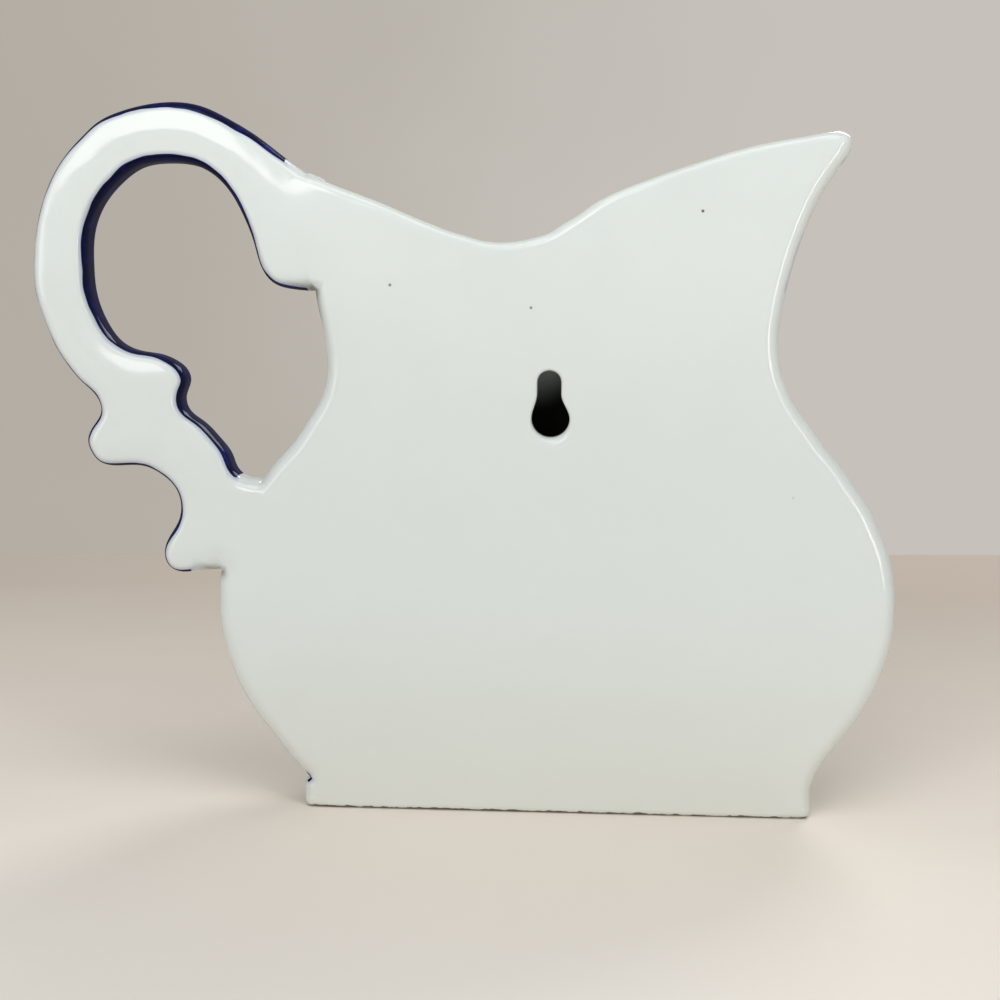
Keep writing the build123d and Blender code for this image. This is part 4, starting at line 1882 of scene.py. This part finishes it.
        # The band follows the rim, 2 to 4.8 mm below it.
        for place, middle, half in ((below, 3.4, 1.4), *((level, *line) for line in PAINTED_LINES)):
            off = add_node(tree, math_node, [place, middle], operation="SUBTRACT")
            off = add_node(tree, math_node, [off], operation="ABSOLUTE")
            line = add_node(tree, math_node, [half, off], operation="SUBTRACT")
            depth = add_node(tree, math_node, [depth, line], operation="MAXIMUM")
        for x, z, length, width, turn in BRUSH_STROKES:
            brush = {
                "Vector": spot,
                "Location": (x * MM, 0.0, z * MM),
                "Rotation": (0.0, -math.radians(turn), 0.0),
                "Scale": (length * MM, 1000.0, width * MM),
            }
            stroke = add_node(tree, "ShaderNodeMapping", brush, vector_type="TEXTURE")
            off = add_node(tree, "ShaderNodeVectorMath", [stroke], operation="LENGTH").outputs["Value"]
            line = add_node(tree, math_node, [off, -width, width], operation="MULTIPLY_ADD")
            line = add_node(tree, math_node, [wobble, 0.3, line], operation="MULTIPLY_ADD")
            # Outside, the blue ends at once, also past the tips of a long stroke.
            past = add_node(tree, math_node, [line, 8.0], operation="MULTIPLY")
            line = add_node(tree, math_node, [line, past], operation="MINIMUM")
            depth = add_node(tree, math_node, [depth, line], operation="MAXIMUM")
        # The brush was lifted just before the seam with the back, and none of it is in the pocket.
        seam = add_node(tree, math_node, [axes["Y"], -1000.0, -5.8], operation="MULTIPLY_ADD")
        seam = add_node(tree, math_node, [wobble, 1.5, seam], operation="MULTIPLY_ADD")
        depth = add_node(tree, math_node, [depth, seam], operation="MINIMUM")
        return add_node(tree, math_node, [depth, crown], operation="MINIMUM")


@dataclass(frozen=True)
class StudioPaint:
    """Matt floor paint, rolled on, so that the floor gives no gloss, with soft clouds of tone and painted
    shade that darkens it towards its far edge.

    Attributes:
        name: The material's name.
        colour: Its colour.
        far_painted_shade: The darker colour that it fades to, as painted shade towards the far edge.
        fade: How fast it fades along x, y and z, in shares for each metre.
        start: How far it has faded at the origin.
    """

    name: str
    colour: str
    far_painted_shade: str
    fade: tuple[float, float, float]
    start: float

    def material(self) -> bpy.types.Material:
        """Builds the material.

        Returns:
            The new material.
        """
        made = bpy.data.materials.new(self.name)
        made.use_nodes = True
        tree = made.node_tree
        tree.nodes.clear()
        spot = add_node(tree, "ShaderNodeTexCoord").outputs["Object"]
        cloud = add_node(tree, "ShaderNodeTexNoise", {"Vector": spot, "Scale": 14.0, "Detail": 4.0})
        # The clouds move the tone by up to a tenth either way.
        # Painted shade: the floor fades darker towards its far edge.
        faded = add_node(tree, "ShaderNodeVectorMath", [spot, self.fade], operation="DOT_PRODUCT")
        faded = add_node(tree, "ShaderNodeMath", [faded.outputs["Value"], self.start - 0.1], operation="ADD")
        faded = [cloud, 0.2, faded]
        faded = add_node(tree, "ShaderNodeMath", faded, operation="MULTIPLY_ADD", use_clamp=True)
        tints = {"Factor": faded, 6: linear(self.colour), 7: linear(self.far_painted_shade)}
        colour = add_node(tree, "ShaderNodeMix", tints, data_type="RGBA")
        shader = add_node(tree, "ShaderNodeBsdfDiffuse", {"Color": colour.outputs[2]})
        add_node(tree, "ShaderNodeOutputMaterial", {"Surface": shader})
        return made


@dataclass
class Studio:
    """The camera, the lamps, the floor and the pale room.

    Attributes:
        floor_reach: How far the floor goes to each side, in metres.
        floor_depth: How far it goes from its far edge towards the camera, in metres.
        wall_right: The wall's colour on the right of the photograph.
        wall_left: Its colour on the left.
        seam_right: A place (x, y) on the floor's far edge, on the right.
        seam_left: A place on it on the left.
    """

    floor_reach: float = 2.4
    floor_depth: float = 1.6
    wall_right: str = "#c6c1ba"
    wall_left: str = "#b3ada3"
    seam_right: tuple[float, float] = (-198.1, -390.9)
    seam_left: tuple[float, float] = (238.4, -336.3)

    def camera(self) -> None:
        """Sets the camera where the photograph was taken from."""
        right = Vector((-0.999048, -0.043619, 0.0))
        up = Vector((0.005089, -0.116560, 0.993171))
        forward = Vector((0.043322, -0.992225, -0.116671))
        roll = math.radians(0.7)
        tilted_right = math.cos(roll) * right + math.sin(roll) * up
        tilted_up = math.cos(roll) * up - math.sin(roll) * right
        data = bpy.data.cameras.new("photo_view")
        data.sensor_width = 36.0
        data.lens = 57.6
        data.clip_start = 0.01
        camera = bpy.data.objects.new("photo_view", data)
        turn = Matrix((tilted_right, tilted_up, -forward)).transposed().to_4x4()
        camera.matrix_world = Matrix.Translation(Vector((-4.557, 330.699, 14.352)) * MM) @ turn
        bpy.context.scene.collection.objects.link(camera)
        bpy.context.scene.camera = camera

    def lamp(self, name: str, place: tuple, target: tuple, size: tuple, power: float, tint: str) -> None:
        """Adds a soft lamp.

        Args:
            name: The lamp's name.
            place: Where it is, in metres.
            target: What it faces, in metres.
            size: Its width and height, in metres.
            power: Its power in watts.
            tint: Its colour.
        """
        data = bpy.data.lights.new(name, "AREA")
        data.shape = "RECTANGLE"
        data.size, data.size_y = size
        data.energy = power
        data.color = linear(tint)[:3]
        lamp = bpy.data.objects.new(name, data)
        lamp.location = place
        aim = Vector(target) - Vector(place)
        lamp.rotation_euler = aim.to_track_quat("-Z", "Y").to_euler()
        bpy.context.scene.collection.objects.link(lamp)

    def lights(self) -> None:
        """Sets soft lamps at a plain level, and a pale room whose wall is seen behind the floor."""
        world = bpy.data.worlds.new("pale_room")
        bpy.context.scene.world = world
        world.use_nodes = True
        tree = world.node_tree
        tree.nodes.clear()
        room = add_node(tree, "ShaderNodeBackground", [linear("#dfe4ea"), 0.39])
        # The wall is a little darker on the handle's side.
        view = add_node(tree, "ShaderNodeTexCoord").outputs["Generated"]
        across = add_node(tree, "ShaderNodeSeparateXYZ", [view]).outputs["X"]
        cloud = add_node(tree, "ShaderNodeTexNoise", {"Vector": view, "Scale": 5.0, "Detail": 3.0})
        across = add_node(tree, "ShaderNodeMath", [cloud, 0.3, across], operation="MULTIPLY_ADD")
        across = add_node(tree, "ShaderNodeMapRange", [across, 0.02, 0.5], **SMOOTH)
        tints = {"Factor": across, 6: linear(self.wall_right), 7: linear(self.wall_left)}
        tone = add_node(tree, "ShaderNodeMix", tints, data_type="RGBA")
        wall = add_node(tree, "ShaderNodeBackground", [tone.outputs[2], 1.0])
        path = add_node(tree, "ShaderNodeLightPath").outputs
        seen = path["Is Camera Ray"]
        for ray in ("Is Glossy Ray", "Is Transmission Ray"):
            seen = add_node(tree, "ShaderNodeMath", [seen, path[ray]], operation="ADD", use_clamp=True)
        mixed = add_node(tree, "ShaderNodeMixShader", [seen, room, wall])
        add_node(tree, "ShaderNodeOutputWorld", [mixed])
        for lamp in LAMPS:
            self.lamp(*lamp)

    def stage(self) -> bpy.types.Object:
        """Builds the floor, whose far edge is the line seen behind the vase.

        Returns:
            The floor, in place.
        """
        right, left = (np.array(p) * MM for p in (self.seam_right, self.seam_left))
        along = (left - right) / np.linalg.norm(left - right)
        near = np.array((-along[1], along[0]))
        near = near if near[1] > 0 else -near
        middle = (right + left) / 2
        flat = [middle + self.floor_reach * along, middle - self.floor_reach * along]
        flat += [corner + self.floor_depth * near for corner in reversed(flat)]
        mesh = bpy.data.meshes.new("floor")
        mesh.from_pydata([(float(x), float(y), BASE_LEVEL * MM) for x, y in flat], [], [(0, 1, 2, 3)])
        piece = bpy.data.objects.new("floor", mesh)
        # The floor is painted darker towards its far edge, as painted shade.
        paint = StudioPaint("matt_floor_with_painted_shade", "#f5eee4", "#d4c6b7", (0.0, -2.4, 0.0), 0.35)
        piece.data.materials.append(paint.material())
        bpy.context.scene.collection.objects.link(piece)
        return piece


def report(piece: bpy.types.Object) -> None:
    """Logs a piece's name, triangles and size."""
    spot = places(piece)
    low, high = spot.min(axis=0), spot.max(axis=0)
    count = sum(len(p.vertices) - 2 for p in piece.data.polygons)
    LOG.info("%s: %d triangles, from %s to %s mm", piece.name, count, low.round(2), high.round(2))


def main() -> None:
    """Builds the vase and its studio in order."""
    logging.basicConfig(level=logging.INFO, format="%(name)s %(message)s")
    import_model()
    bpy.context.scene.view_settings.view_transform = "Standard"
    form = JugForm()
    studio = Studio()
    studio.camera()

    bow = form.bow_group()
    shell_glaze = TinGlaze("tin_glaze_shell", edge_attribute="crown_mm", body_paint=True).material()
    wall_glaze = TinGlaze("tin_glaze_back", edge_attribute="edge_mm", paint_attribute="paint_mm").material()
    foot_glaze = TinGlaze("tin_glaze_foot").material()
    handle_glaze = TinGlaze("cobalt_on_tin_glaze", paint_attribute="paint_mm").material()

    shell = FrontShell(form)
    shell_piece = shell.build(bow, shell_glaze)
    foot = Foot(form)
    foot_piece = foot.build(bow, foot_glaze)
    lines = OutlineMaker(form, shell, foot).build(shell_piece)
    wall_piece = BackWall(form).build(lines)
    wall_piece.data.materials.append(wall_glaze)
    handle_piece = Handle().build(lines)
    handle_piece.data.materials.append(handle_glaze)

    for piece, node, finish in (
        (wall_piece, "back_wall", "white_glaze"),
        (shell_piece, "front_shell", "white_glaze"),
        (foot_piece, "foot", "white_glaze"),
        (handle_piece, "handle", "cobalt_glaze"),
    ):
        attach(piece, "root")
        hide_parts(node)
        report(piece)

    studio.lights()
    studio.stage()


if __name__ == "__main__":
    main()
